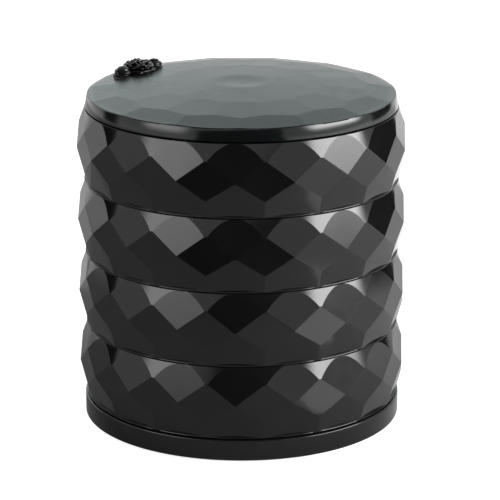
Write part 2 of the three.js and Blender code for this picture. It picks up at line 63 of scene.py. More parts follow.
plinth_low, plinth_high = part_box("base_plinth")
tray_low, tray_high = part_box("bottom_tray")
lid_low, lid_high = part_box("lid")
rod_low, rod_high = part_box("pivot_rod")
liner_low, liner_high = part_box("bottom_liner")

lid_radius = lid_high.x
plinth_radius = plinth_high.x
tray_height = tray_high.z - tray_low.z
rod_head_radius = (rod_high.x - rod_low.x) / 2
pivot_x = (rod_low.x + rod_high.x) / 2
pivot_y = (rod_low.y + rod_high.y) / 2
pivot_radius = math.hypot(pivot_x, pivot_y)
pivot_turn = math.atan2(pivot_y, pivot_x)
front = -math.pi / 2

TRAYS = {
    "bottom": "bottom_layer",
    "lower": "lower_layer",
    "upper": "upper_layer",
    "top": "top_layer",
}
tray_bottoms = {place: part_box(f"{place}_tray")[0].z for place in TRAYS}
print("lid radius mm", round(lid_radius / MM, 2), "tray height mm", round(tray_height / MM, 2))

# %% Name what a box can't tell
neck_reveal = 0.2 * MM
crown_bulge = 3.2 * MM
lip_reveal = 0.6 * MM
lip_height = 0.4 * MM
tray_wall = 2 * MM
tray_draft = 0.9 * MM
tray_floor = 2 * MM
floor_fillet = 1.2 * MM
neck_tip_inset = 0.12 * MM
upper_corner_share = 0.217
crown_corner_share = 0.51
lower_corner_share = 0.763
facet_count = 18
facet_phase = math.radians(8)

rod_radius = 2 * MM
bore_radius = 2.25 * MM
boss_radius = 5 * MM
web_width = 6 * MM

round_steps = 360
small_steps = 64
overrun = 1 * MM

rim_radius = lid_radius + neck_reveal
crown_radius = rim_radius + crown_bulge
mouth_radius = rim_radius - tray_wall
floor_radius = mouth_radius - tray_draft
print("rim, crown and floor radius mm",
      [round(radius / MM, 2) for radius in (rim_radius, crown_radius, floor_radius)])

# %% [markdown]
# ## Camera
# A product photographer stands well back with a long lens, so that the rims stay nearly parallel.
# The distance, height and tilt were found by fitting the rims, the joint lines and the outline of
# a drum of this size to the photograph.

# %% Camera at the photograph's angle
camera_place = Vector((3.1, -962, 351.5)) * MM
camera_tilt = math.radians(73.27)
focal_length = 192.7
sensor_width = 36

camera_data = bpy.data.cameras.new("camera")
camera_data.sensor_width = sensor_width
camera_data.lens = focal_length
camera = bpy.data.objects.new("camera", camera_data)
camera.location = camera_place
camera.rotation_euler = (camera_tilt, 0, 0)
bpy.context.scene.collection.objects.link(camera)
bpy.context.scene.camera = camera
bpy.context.scene.view_settings.view_transform = "Standard"
print("camera at", [round(x, 3) for x in camera_place])

# %% [markdown]
# ## Helpers for node trees
# Materials and Geometry Nodes are both built from nodes and links. One helper adds a node and
# feeds its inputs by name, and one does arithmetic, so that the cells below read as recipes.


# %% Node helpers
def put(tree, kind, settings=None, inputs=None):
    """A new node, its properties set, and its inputs fed with links or plain values."""
    made = tree.nodes.new(kind)
    for name, value in (settings or {}).items():
        setattr(made, name, value)
    for name, value in (inputs or {}).items():
        feed(tree, made.inputs[name], value)
    return made


def feed(tree, socket, value):
    if isinstance(value, bpy.types.NodeSocket):
        tree.links.new(value, socket)
    else:
        socket.default_value = value


def calc(tree, operation, *values):
    """The output of a Math node."""
    made = put(tree, "ShaderNodeMath", {"operation": operation})
    for socket, value in zip(made.inputs, values):
        feed(tree, socket, value)
    return made.outputs[0]


def vector(tree, x=0.0, y=0.0, z=0.0):
    return put(tree, "ShaderNodeCombineXYZ", {}, {"X": x, "Y": y, "Z": z}).outputs[0]


def new_tree(name, kind, inputs, outputs):
    """A node group with named sockets. Returns it with its input and output ends."""
    tree = bpy.data.node_groups.new(name, kind)
    for label, socket_type, value in inputs:
        socket = tree.interface.new_socket(label, in_out="INPUT", socket_type=socket_type)
        if value is not None:
            socket.default_value = value
    for label, socket_type in outputs:
        tree.interface.new_socket(label, in_out="OUTPUT", socket_type=socket_type)
    entry = tree.nodes.new("NodeGroupInput").outputs
    end = tree.nodes.new("NodeGroupOutput").inputs
    return tree, entry, end


FLOAT = "NodeSocketFloat"
INTEGER = "NodeSocketInt"
GEOMETRY = "NodeSocketGeometry"
MATERIAL = "NodeSocketMaterial"
print("kinds of socket:", FLOAT, INTEGER, GEOMETRY, MATERIAL)

# %% [markdown]
# ## Shared surface effects
# Polished black plastic is never a perfect mirror. As it cools in the mould it sinks a little, so
# reflections sway, and handling leaves soft haze and hair-fine scratches. Several finishes need
# these, so each effect is a node group with named inputs. A group gives out only masks and
# heights. The shader stays in the material.


# %% Effect: sunken moulding
def build_moulding_sway():
    """Broad, shallow waves as on moulded plastic. Height is from 0 to 1."""
    tree, entry, end = new_tree(
        "Moulding sway",
        "ShaderNodeTree",
        [("Wave size", FLOAT, 0.02)],
        [("Height", FLOAT), ("Tone", FLOAT)],
    )
    place = put(tree, "ShaderNodeTexCoord").outputs["Object"]
    scale = calc(tree, "DIVIDE", 1.0, entry["Wave size"])
    waves = put(tree, "ShaderNodeTexNoise", {}, {"Vector": place, "Scale": scale, "Detail": 1.5})
    wider = calc(tree, "MULTIPLY", scale, 0.6)
    tone = put(tree, "ShaderNodeTexNoise", {}, {"Vector": place, "Scale": wider, "Detail": 4.0})
    feed(tree, end["Height"], waves.outputs[0])
    feed(tree, end["Tone"], tone.outputs[0])
    return tree


moulding_sway = build_moulding_sway()
print("built", moulding_sway.name)


# %% Effect: haze and fine scratches
def build_handling_marks():
    """Soft haze from handling, and hair lines that run in two directions. Both are 0 to 1."""
    tree, entry, end = new_tree(
        "Handling marks",
        "ShaderNodeTree",
        [("Haze size", FLOAT, 0.015), ("Scratch spacing", FLOAT, 0.0015)],
        [("Haze", FLOAT), ("Scratches", FLOAT)],
    )
    place = put(tree, "ShaderNodeTexCoord").outputs["Object"]
    haze_scale = calc(tree, "DIVIDE", 1.0, entry["Haze size"])
    haze = put(
        tree,
        "ShaderNodeTexNoise",
        {},
        {"Vector": place, "Scale": haze_scale, "Detail": 6.0, "Roughness": 0.6},
    )
    cloud = put(
        tree,
        "ShaderNodeMapRange",
        {"interpolation_type": "SMOOTHSTEP"},
        {"Value": haze.outputs[0], "From Min": 0.45, "From Max": 0.75},
    )
    line_scale = calc(tree, "DIVIDE", 1.0, entry["Scratch spacing"])
    found = []
    for turn in (0.5, -0.9):
        turned = put(
            tree,
            "ShaderNodeMapping",
            {},
            {"Vector": place, "Rotation": (turn, 0.3, turn), "Scale": (1.0, 0.02, 1.0)},
        )
        lines = put(
            tree,
            "ShaderNodeTexNoise",
            {},
            {"Vector": turned.outputs[0], "Scale": line_scale, "Detail": 2.0},
        )
        thin = put(
            tree,
            "ShaderNodeMapRange",
            {},
            {"Value": lines.outputs[0], "From Min": 0.68, "From Max": 0.76},
        )
        found.append(thin.outputs[0])
    feed(tree, end["Haze"], cloud.outputs[0])
    feed(tree, end["Scratches"], calc(tree, "MAXIMUM", *found))
    return tree


handling_marks = build_handling_marks()
print("built", handling_marks.name)


# %% Effect: fine grain
def build_fine_grain():
    """A close, even grain, as of a spark-eroded mould, rubber or flocking."""
    tree, entry, end = new_tree(
        "Fine grain",
        "ShaderNodeTree",
        [("Grain size", FLOAT, 0.0004)],
        [("Height", FLOAT), ("Patches", FLOAT)],
    )
    place = put(tree, "ShaderNodeTexCoord").outputs["Object"]
    scale = calc(tree, "DIVIDE", 1.0, entry["Grain size"])
    grain = put(
        tree,
        "ShaderNodeTexNoise",
        {},
        {"Vector": place, "Scale": scale, "Detail": 3.0, "Roughness": 0.7},
    )
    patches = put(tree, "ShaderNodeTexNoise", {}, {"Vector": place, "Scale": 70.0, "Detail": 3.0})
    feed(tree, end["Height"], grain.outputs[0])
    feed(tree, end["Patches"], patches.outputs[0])
    return tree


fine_grain = build_fine_grain()
print("built", fine_grain.name)

# %% [markdown]
# ## Finishes
# The outside is gloss black plastic. Its colour is nearly nothing: what the eye sees is the
# surroundings. The trays mirror about three hundredths of the light when seen square on, and far
# more at a glancing angle. So the index of refraction and the roughness matter more than the
# colour. The lid is like the trays at its band and a little satin on top, where it blurs what it
# mirrors. The rosette has the strongest gloss, so that its thin petal rims catch light, and the
# leaves beside it are duller.


# %% Finish helpers
def effect(tree, group, **inputs):
    """One of the shared effects, placed in a material with its own values."""
    made = tree.nodes.new("ShaderNodeGroup")
    made.node_tree = group
    for name, value in inputs.items():
        made.inputs[name.replace("_", " ")].default_value = value
    return made.outputs


def remap(tree, value, low, high):
    """Spreads 0 to 1 over low to high."""
    inputs = {"Value": value, "To Min": low, "To Max": high}
    return put(tree, "ShaderNodeMapRange", {}, inputs).outputs[0]


def blend_colours(tree, factor, first, second):
    made = put(tree, "ShaderNodeMix", {"data_type": "RGBA"}, {"Factor": factor})
    colours = [s for s in made.inputs if s.type == "RGBA"]
    colours[0].default_value = (*first, 1)
    colours[1].default_value = (*second, 1)
    return [s for s in made.outputs if s.type == "RGBA"][0]


def new_finish(name):
    made = bpy.data.materials.new(name)
    made.use_nodes = True
    tree = made.node_tree
    return made, tree, tree.nodes["Principled BSDF"]


def raise_surface(tree, shader, height, depth):
    bump = put(tree, "ShaderNodeBump", {}, {"Height": height, "Distance": depth, "Strength": 1.0})
    tree.links.new(bump.outputs[0], shader.inputs["Normal"])


# %% Gloss black plastic, its lid and ornament versions
haze_roughness = 0.05
scratch_roughness = 0.012


def build_polished_plastic(name, dark, light, roughness, refraction, sway_depth):
    made, tree, shader = new_finish(name)
    sway = effect(tree, moulding_sway, Wave_size=0.014)
    marks = effect(tree, handling_marks, Haze_size=0.012, Scratch_spacing=0.0011)
    feed(tree, shader.inputs["Base Color"], blend_colours(tree, sway["Tone"], dark, light))
    hazy = remap(tree, marks["Haze"], roughness, roughness + haze_roughness)
    scratched = remap(tree, marks["Scratches"], 0.0, scratch_roughness)
    feed(tree, shader.inputs["Roughness"], calc(tree, "ADD", hazy, scratched))
    shader.inputs["IOR"].default_value = refraction
    raise_surface(tree, shader, sway["Height"], sway_depth)
    return made


gloss_black = build_polished_plastic(
    "gloss_black", dark=(0.003, 0.003, 0.0033), light=(0.006, 0.0062, 0.0065),
    roughness=0.11, refraction=1.4, sway_depth=0.03 * MM,
)
lid_black = build_polished_plastic(
    "lid_black", dark=(0.003, 0.004, 0.004), light=(0.005, 0.006, 0.006),
    roughness=0.14, refraction=1.4, sway_depth=0.008 * MM,
)
finial_black = build_polished_plastic(
    "finial_black", dark=(0.002, 0.002, 0.002), light=(0.005, 0.005, 0.005),
    roughness=0.17, refraction=1.8, sway_depth=0.005 * MM,
)
leaf_black = build_polished_plastic(
    "leaf_black", dark=(0.002, 0.002, 0.002), light=(0.004, 0.004, 0.004),
    roughness=0.27, refraction=1.34, sway_depth=0.005 * MM,
)
print("polished plastics:", gloss_black.name, lid_black.name, finial_black.name, leaf_black.name)


# %% Satin top of the lid
satin_height = lid_low.z + 5 * MM
satin_blend = 0.15 * MM
satin_roughness = 0.11


def make_top_satin(material):
    """Adds roughness above a height, over a few tenths of a millimetre."""
    tree = material.node_tree
    rough = tree.nodes["Principled BSDF"].inputs["Roughness"]
    place = put(tree, "ShaderNodeTexCoord").outputs["Object"]
    height = put(tree, "ShaderNodeSeparateXYZ", {}, {"Vector": place}).outputs["Z"]
    ends = {"From Min": satin_height - satin_blend, "From Max": satin_height + satin_blend}
    share = put(tree, "ShaderNodeMapRange", {}, {"Value": height, **ends}).outputs[0]
    extra = calc(tree, "MULTIPLY", share, satin_roughness)
    feed(tree, rough, calc(tree, "ADD", rough.links[0].from_socket, extra))


make_top_satin(lid_black)
print("satin from", round(satin_height / MM, 2), "mm up on", lid_black.name)


# %% Grained plastic, rubber and acetal
def build_grained(name, dark, light, roughness, grain_size, depth):
    made, tree, shader = new_finish(name)
    grain = effect(tree, fine_grain, Grain_size=grain_size)
    feed(tree, shader.inputs["Base Color"], blend_colours(tree, grain["Patches"], dark, light))
    rough = remap(tree, grain["Patches"], roughness - 0.05, roughness + 0.05)
    feed(tree, shader.inputs["Roughness"], rough)
    raise_surface(tree, shader, grain["Height"], depth)
    return made


divider_black = build_grained(
    "divider_black", dark=(0.012, 0.012, 0.013), light=(0.02, 0.02, 0.022),
    roughness=0.42, grain_size=0.0006, depth=0.02 * MM,
)
foot_rubber = build_grained(
    "foot_rubber", dark=(0.02, 0.02, 0.02), light=(0.035, 0.034, 0.033),
    roughness=0.8, grain_size=0.0008, depth=0.05 * MM,
)
washer_acetal = build_grained(
    "washer_acetal", dark=(0.7, 0.69, 0.64), light=(0.78, 0.77, 0.73),
    roughness=0.45, grain_size=0.0005, depth=0.01 * MM,
)
print("grained:", divider_black.name, foot_rubber.name, washer_acetal.name)


# %% Turned steel
def build_turned_steel():
    """Plated steel with the fine rings that a lathe leaves round the rod's own axis."""
    made, tree, shader = new_finish("rod_steel")
    place = put(tree, "ShaderNodeTexCoord").outputs["Object"]
    centre = (-pivot_x, -pivot_y, 0)
    centred = put(tree, "ShaderNodeMapping", {}, {"Vector": place, "Location": centre}).outputs[0]
    apart = put(tree, "ShaderNodeSeparateXYZ", {}, {"Vector": centred}).outputs
    squares = [calc(tree, "POWER", apart[side], 2.0) for side in ("X", "Y")]
    across = calc(tree, "SQRT", calc(tree, "ADD", *squares))
    along = calc(tree, "ADD", across, apart["Z"])
    rings = put(
        tree,
        "ShaderNodeTexNoise",
        {"noise_dimensions": "1D"},
        {"W": along, "Scale": 9000.0, "Detail": 2.0},
    ).outputs[0]
    feed(tree, shader.inputs["Base Color"],
         blend_colours(tree, rings, (0.52, 0.53, 0.54), (0.68, 0.68, 0.68)))
    feed(tree, shader.inputs["Roughness"], remap(tree, rings, 0.2, 0.36))
    shader.inputs["Metallic"].default_value = 1.0
    raise_surface(tree, shader, rings, 0.004 * MM)
    return made


rod_steel = build_turned_steel()
print("built", rod_steel.name)


# %% Flocked velvet
def build_velvet():
    """Short upright fibres: dark seen square on, pale at a glancing angle, brushed in patches."""
    made, tree, shader = new_finish("grey_velvet")
    pile = effect(tree, fine_grain, Grain_size=0.00035)
    brushed = blend_colours(tree, pile["Patches"], (0.03, 0.032, 0.037), (0.065, 0.068, 0.077))
    feed(tree, shader.inputs["Base Color"], brushed)
    feed(tree, shader.inputs["Roughness"], remap(tree, pile["Patches"], 0.85, 1.0))
    shader.inputs["Sheen Weight"].default_value = 0.6
    shader.inputs["Sheen Roughness"].default_value = 0.35
    shader.inputs["Sheen Tint"].default_value = (0.75, 0.78, 0.85, 1)
    shader.inputs["Specular IOR Level"].default_value = 0.1
    raise_surface(tree, shader, pile["Height"], 0.25 * MM)
    return made


grey_velvet = build_velvet()
print("built", grey_velvet.name)

# %% [markdown]
# ## Helpers for meshes
# Nearly every piece is turned, cut and joined, as on a lathe and a mill. A profile is turned into
# a closed solid, and solids are joined or cut with Blender's Manifold solver, which is fast and
# keeps them closed. Afterwards points that fell together are merged, flat neighbours become one
# face again, and real edges get a small round.


# %% Mesh helpers
def add_piece(name, mesh):
    piece = bpy.data.objects.new(name, mesh)
    bpy.context.scene.collection.objects.link(piece)
    return piece


def piece_from(name, points, faces):
    mesh = bpy.data.meshes.new(name)
    mesh.from_pydata(points, [], faces)
    return add_piece(name, mesh)


def turned(name, profile, steps=small_steps, centre=(0, 0)):
    """A closed solid from a profile of (radius, height) points that starts and ends on the axis."""
    points, faces, rings = [], [], []
    for radius, height in profile:
        count = steps if radius > 0 else 1
        rings.append(range(len(points), len(points) + count))
        for i in range(count):
            turn = 2 * math.pi * i / steps
            x = centre[0] + radius * math.cos(turn)
            y = centre[1] + radius * math.sin(turn)
            points.append((x, y, height))
    for low, high in zip(rings, rings[1:]):
        for i in range(steps):
            j = (i + 1) % steps
            corners = [low[i % len(low)], low[j % len(low)]]
            corners += [high[j % len(high)], high[i % len(high)]]
            corners = list(dict.fromkeys(corners))
            if len(corners) > 2:
                faces.append(corners)
    return piece_from(name, points, faces)


def disc(name, radius, bottom, top, steps=small_steps, centre=(0, 0)):
    return turned(name, [(0, bottom), (radius, bottom), (radius, top), (0, top)], steps, centre)


def spoke(name, start, end, width, bottom, top, turn):
    """An upright block whose length runs outwards from the axis."""
    sides = [(start, -width / 2), (end, -width / 2), (end, width / 2), (start, width / 2)]
    swing = Matrix.Rotation(turn, 3, "Z")
    points = [swing @ Vector((x, y, z)) for z in (bottom, top) for x, y in sides]
    faces = [(3, 2, 1, 0), (4, 5, 6, 7)]
    faces += [(i, (i + 1) % 4, (i + 1) % 4 + 4, i + 4) for i in range(4)]
    return piece_from(name, points, faces)


def settle(piece):
    """Makes what the modifiers show the piece's own mesh, and removes them."""
    seen = piece.evaluated_get(bpy.context.evaluated_depsgraph_get())
    mesh = bpy.data.meshes.new_from_object(seen)
    piece.modifiers.clear()
    piece.data = mesh
    return piece


def combine(piece, how, *others):
    for other in others:
        step = piece.modifiers.new(how, "BOOLEAN")
        step.operation = how
        step.solver = "MANIFOLD"
        step.object = other
        settle(piece)
        bpy.data.objects.remove(other)
    return piece


def cut(piece, *others):
    return combine(piece, "DIFFERENCE", *others)


def join(piece, *others):
    return combine(piece, "UNION", *others)


def gather(piece, *others):
    """Puts closed shells that may run through each other into one mesh."""
    mesh = bmesh.new()
    for part in (piece, *others):
        mesh.from_mesh(part.data)
    mesh.to_mesh(piece.data)
    mesh.free()
    for other in others:
        bpy.data.objects.remove(other)
    return piece


# %% Clean and round the edges of a cut piece
merge_distance = 0.02 * MM
flat_angle = math.radians(0.05)
pivot_margin = 0.2 * MM
print("points merge within mm", round(merge_distance / MM, 3))


def clean(piece, flat=flat_angle):
    """Merges points that fell together, and neighbours that lie in one plane unless flat is 0."""
    mesh = bmesh.new()
    mesh.from_mesh(piece.data)
    bmesh.ops.remove_doubles(mesh, verts=mesh.verts, dist=merge_distance)
    bmesh.ops.dissolve_degenerate(mesh, edges=mesh.edges, dist=merge_distance)
    if flat:
        bmesh.ops.dissolve_limit(mesh, angle_limit=flat, verts=mesh.verts, edges=mesh.edges)
    mesh.to_mesh(piece.data)
    mesh.free()
    return piece


def round_edges(piece, width, from_angle, steps=2):
    step = piece.modifiers.new("round edges", "BEVEL")
    step.width = width
    step.segments = steps
    step.limit_method = "ANGLE"
    step.angle_limit = math.radians(from_angle)
    step.use_clamp_overlap = False
    return settle(piece)


def shade(piece, material, sharp_from):
    """Gives the finish, and shades smooth except across edges sharper than an angle."""
    piece.data.materials.clear()
    piece.data.materials.append(material)
    for face in piece.data.polygons:
        face.use_smooth = True
        face.material_index = 0
    piece.data.set_sharp_from_angle(angle=math.radians(sharp_from))
    return piece


def soften(piece, chosen, up_to):
    """Shades smooth again across edges less sharp than an angle, where chosen says so."""
    mesh = bmesh.new()
    mesh.from_mesh(piece.data)
    for edge in mesh.edges:
        middle = (edge.verts[0].co + edge.verts[1].co) / 2
        if chosen(middle) and edge.calc_face_angle(math.pi) < math.radians(up_to):
            edge.smooth = True
    mesh.to_mesh(piece.data)
    mesh.free()
    return piece


def near_pivot(point):
    return math.hypot(point.x - pivot_x, point.y - pivot_y) < boss_radius + pivot_margin


def raised(piece, height, name):
    """A copy of a piece's mesh, moved up, as a piece of its own."""
    mesh = piece.data.copy()
    mesh.name = name
    mesh.transform(Matrix.Translation((0, 0, height)))
    return add_piece(name, mesh)


def dress(piece, body, slot, *nodes):
    """Parents a finished piece to its body and hides the imported parts it stands for."""
    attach(piece, body)
    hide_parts(*nodes)
    print(piece.name, "faces", len(piece.data.polygons))


# %% [markdown]
# ## A ring of flats
# The trays and the lid are turned blanks with rings of flat faces cut into them. Cutting dozens of
# flats by hand invites mistakes, and modelling each facet as a polygon means working out every
# corner. In Geometry Nodes the rule is stated once: points on a circle, a big block on each,
# leant and turned, all taken away from the blank.


# %% Helpers for trees that repeat something
def turn_of_each(tree, count, first):
    """The turn of each of a number of points that are spread evenly round the axis."""
    index = put(tree, "GeometryNodeInputIndex").outputs[0]
    step = calc(tree, "DIVIDE", 2 * math.pi, count)
    return calc(tree, "MULTIPLY_ADD", index, step, first)


def made_real(tree, geometry, material):
    """Turns instances into plain mesh and gives it a material, which is how a tree ends here."""
    whole = put(tree, "GeometryNodeRealizeInstances", {}, {"Geometry": geometry}).outputs[0]
    inputs = {"Geometry": whole, "Material": material}
    return put(tree, "GeometryNodeSetMaterial", {}, inputs).outputs[0]


# %% Geometry Nodes: cut a ring of flats
def build_ring_of_flats():
    tree, entry, end = new_tree(
        "Ring of flats",
        "GeometryNodeTree",
        [
            ("Body", GEOMETRY, None),
            ("Count", INTEGER, 18),
            ("First turn", FLOAT, 0.0),
            ("Radius", FLOAT, 0.06),
            ("Height", FLOAT, 0.0),
            ("Lean", FLOAT, 0.0),
            ("Reach", FLOAT, 0.1),
        ],
        [("Body", GEOMETRY)],
    )
    turn = turn_of_each(tree, entry["Count"], entry["First turn"])
    place = vector(
        tree,
        calc(tree, "MULTIPLY", entry["Radius"], calc(tree, "COSINE", turn)),
        calc(tree, "MULTIPLY", entry["Radius"], calc(tree, "SINE", turn)),
        entry["Height"],
    )
    spots = put(tree, "GeometryNodePoints", {}, {"Count": entry["Count"], "Position": place})
    wide = calc(tree, "MULTIPLY", entry["Reach"], 2.0)
    size = vector(tree, entry["Reach"], wide, wide)
    block = put(tree, "GeometryNodeMeshCube", {}, {"Size": size})
    outward = vector(tree, calc(tree, "MULTIPLY", entry["Reach"], 0.5))
    moved = {"Geometry": block.outputs["Mesh"], "Translation": outward}
    block = put(tree, "GeometryNodeTransform", {}, moved)
    euler = vector(tree, 0.0, calc(tree, "MULTIPLY", entry["Lean"], -1.0), turn)
    rotation = put(tree, "FunctionNodeEulerToRotation", {}, {"Euler": euler})
    blocks = put(
        tree,
        "GeometryNodeInstanceOnPoints",
        {},
        {
            "Points": spots.outputs[0],
            "Instance": block.outputs[0],
            "Rotation": rotation.outputs[0],
        },
    )
    settings = {"operation": "DIFFERENCE", "solver": "MANIFOLD"}
    cutting = put(tree, "GeometryNodeMeshBoolean", settings)
    tree.links.new(entry["Body"], cutting.inputs[0])
    tree.links.new(blocks.outputs[0], cutting.inputs[1])
    tree.links.new(cutting.outputs[0], end["Body"])
    return tree


ring_of_flats = build_ring_of_flats()
print("built", ring_of_flats.name)


# %% Geometry Nodes: three rings of flats, finished
def build_faceted_body():
    """Three rings of flats cut one after the other, as on a tray and on the lid."""
    rows = ("Upper", "Middle", "Lower")
    sizes = {"First turn": "turn", "Radius": "radius", "Height": "height", "Lean": "lean"}
    inputs = [("Body", GEOMETRY, None), ("Count", INTEGER, 18), ("Reach", FLOAT, 0.1)]
    for row in rows:
        for size in sizes.values():
            inputs.append((f"{row} {size}", FLOAT, 0.0))
    inputs.append(("Finish", MATERIAL, None))
    tree, entry, end = new_tree("Faceted body", "GeometryNodeTree", inputs, [("Body", GEOMETRY)])
    body = entry["Body"]
    for row in rows:
        ring = tree.nodes.new("GeometryNodeGroup")
        ring.node_tree = ring_of_flats
        feed(tree, ring.inputs["Body"], body)
        for shared in ("Count", "Reach"):
            feed(tree, ring.inputs[shared], entry[shared])
        for name, size in sizes.items():
            feed(tree, ring.inputs[name], entry[f"{row} {size}"])
        body = ring.outputs["Body"]
    feed(tree, end["Body"], made_real(tree, body, entry["Finish"]))
    return tree


faceted_body = build_faceted_body()


def grow(piece, tree, values):
    """Runs a Geometry Nodes tree on a piece and keeps the result as its mesh."""
    step = piece.modifiers.new(tree.name, "NODES")
    step.node_group = tree
    for socket in tree.interface.items_tree:
        if socket.in_out == "INPUT" and socket.name in values:
            step[socket.identifier] = values[socket.name]
    return settle(piece)


print("built", faceted_body.name)

# %% [markdown]
# ## Trays
# Seen from the front, a tray's wall has three rows of flat faces that share their corners: kites
# that stand upright at the middle height, and a row that leans in above them and one below. Each
# row is half a step round from the next. The neck under the rim is left smooth, so it shows as
# triangles that point down. All four trays come from one mould. Their edges get a small round,
# because a gloss edge without one catches no light.


# %% Wall of a tray
def build_tray_wall():
    step = 2 * math.pi / facet_count
    upper = tray_height * (1 - upper_corner_share)
    crown = tray_height * (1 - crown_corner_share)
    lower = tray_height * (1 - lower_corner_share)
    kite_radius = crown_radius * math.cos(step / 2)
    side_radius = kite_radius * math.cos(step / 2)
    neck_slope = (kite_radius - neck_tip_inset - rim_radius) / (tray_height - upper)
    blank_radius = crown_radius + overrun
    blank_height = tray_height - (blank_radius - rim_radius) / neck_slope
    blank = [(0, 0), (blank_radius, 0), (blank_radius, blank_height), (rim_radius, tray_height)]
    wall = turned("tray", [*blank, (0, tray_height)], round_steps)
    kite_turn = front + facet_phase
    return grow(wall, faceted_body, {
        "Count": facet_count,
        "Reach": 2 * tray_height,
        "Upper turn": kite_turn + step / 2,
        "Upper radius": crown_radius,
        "Upper height": crown,
        "Upper lean": math.atan2(crown_radius - side_radius, upper - crown),
        "Middle turn": kite_turn,
        "Middle radius": kite_radius,
        "Middle height": crown,
        "Middle lean": 0.0,
        "Lower turn": kite_turn + step / 2,
        "Lower radius": crown_radius,
        "Lower height": crown,
        "Lower lean": -math.atan2(crown_radius - side_radius, crown - lower),
        "Finish": gloss_black,
    })


# %% Hollow, pivot post and bore
def arc(centre, radius, start, end, steps):
    """Points of an arc in a profile, its angles in degrees."""
    turns = [math.radians(start + (end - start) * i / steps) for i in range(steps + 1)]
    return [(centre[0] + radius * math.cos(t), centre[1] + radius * math.sin(t)) for t in turns]


def tray_hollow():
    corner = (floor_radius - floor_fillet, tray_floor + floor_fillet)
    above = tray_height + overrun
    profile = [(0, tray_floor), *arc(corner, floor_fillet, -90, 0, 8)]
    profile += [(mouth_radius, tray_height), (mouth_radius, above), (0, above)]
    return turned("hollow", profile, round_steps)


def pivot_post():
    post = disc("post", boss_radius, 0, tray_height, small_steps, (pivot_x, pivot_y))
    web_end = mouth_radius + overrun
    return join(post, spoke("web", pivot_radius, web_end, web_width, 0, tray_height, pivot_turn))


def rod_bore(bottom, top):
    centre = (pivot_x, pivot_y)
    return disc("bore", bore_radius, bottom - overrun, top + overrun, small_steps, centre)


# %% The four trays
tray_edge = 0.14 * MM
fillet_margin = 0.1 * MM


def in_floor_fillet(point):
    return -fillet_margin < point.z - tray_floor < floor_fillet + fillet_margin


def build_tray():
    lip = disc("lip", rim_radius + lip_reveal - neck_reveal, 0, lip_height, round_steps)
    tray = join(build_tray_wall(), lip)
    cut(tray, tray_hollow())
    join(tray, pivot_post())
    cut(tray, rod_bore(0, tray_height))
    round_edges(clean(tray), tray_edge, from_angle=5)
    shade(clean(tray), gloss_black, sharp_from=1.5)
    soften(tray, near_pivot, up_to=8)
    return soften(tray, in_floor_fillet, up_to=12)


tray_mould = build_tray()
for place, body in TRAYS.items():
    piece = raised(tray_mould, tray_bottoms[place], f"{place}_tray_shell")
    dress(piece, body, "gloss_black", f"{place}_tray")
bpy.data.objects.remove(tray_mould)

# %% [markdown]
# ## Plinth and feet
# The plinth is a shallow moulding, hollow underneath. Ribs and a ring stiffen it, a socket takes
# each rubber foot, and a pocket takes the head of the rod. The ribs and sockets repeat round the
# axis, so a second small tree stands copies of a piece in a ring.


# %% Geometry Nodes: copies in a ring
def build_ring_of_copies():
    tree, entry, end = new_tree(
        "Ring of copies",
        "GeometryNodeTree",
        [
            ("Piece", GEOMETRY, None),
            ("Count", INTEGER, 6),
            ("First turn", FLOAT, 0.0),
            ("Finish", MATERIAL, None),
        ],
        [("Ring", GEOMETRY)],
    )
    turn = turn_of_each(tree, entry["Count"], entry["First turn"])
    spots = put(tree, "GeometryNodePoints", {}, {"Count": entry["Count"]})
    euler = vector(tree, 0.0, 0.0, turn)
    rotation = put(tree, "FunctionNodeEulerToRotation", {}, {"Euler": euler})
    ring = put(
        tree,
        "GeometryNodeInstanceOnPoints",
        {},
        {
            "Points": spots.outputs[0],
            "Instance": entry["Piece"],
            "Rotation": rotation.outputs[0],
        },
    )
    feed(tree, end["Ring"], made_real(tree, ring.outputs[0], entry["Finish"]))
    return tree


ring_of_copies = build_ring_of_copies()
print("built", ring_of_copies.name)

# %% Plinth
plinth_edge = 0.5 * MM
plinth_inner_edge = 0.15 * MM
plinth_top_thickness = 3.6 * MM
plinth_wall = 2.4 * MM
rib_thickness = 1.6 * MM
rib_count = 6
rib_ring_inset = 33 * MM
rib_rise = 0.4 * MM
foot_radius = 5 * MM
foot_edge = 0.5 * MM
foot_height = 2 * MM
foot_inset = 14.4 * MM
foot_count = 4
socket_wall = 1.7 * MM
soft_gap = 0.2 * MM
head_gap = 0.4 * MM
head_wall = 2.6 * MM
rod_head_height = 2 * MM
head_pocket_height = rod_head_height + 0.1 * MM

foot_circle = plinth_radius - foot_inset
foot_turn = pivot_turn + math.pi / foot_count
rib_foot = plinth_low.z + rib_rise
ceiling = plinth_high.z - plinth_top_thickness


def plinth_hollow():
    inner_radius = plinth_radius - plinth_wall
    hollow = disc("hollow", inner_radius, plinth_low.z - overrun, ceiling, round_steps)
    ring_radius = plinth_radius - rib_ring_inset
    top = ceiling + overrun
    ring = disc("ring", ring_radius + rib_thickness / 2, rib_foot, top, round_steps)
    cut(ring, disc("hole", ring_radius - rib_thickness / 2, 0, top + overrun, round_steps))
    reach = inner_radius + overrun
    ribs = spoke("ribs", ring_radius, reach, rib_thickness, rib_foot, top, 0)
    grow(ribs, ring_of_copies, {"Count": rib_count, "First turn": pivot_turn})
    pads = disc("pads", foot_radius + socket_wall, rib_foot, top, small_steps, (foot_circle, 0))
    grow(pads, ring_of_copies, {"Count": foot_count, "First turn": foot_turn})
    head_radius = rod_head_radius + head_gap + head_wall
    head = disc("head", head_radius, rib_foot, top, small_steps, (pivot_x, pivot_y))
    return cut(hollow, ring, ribs, pads, head)


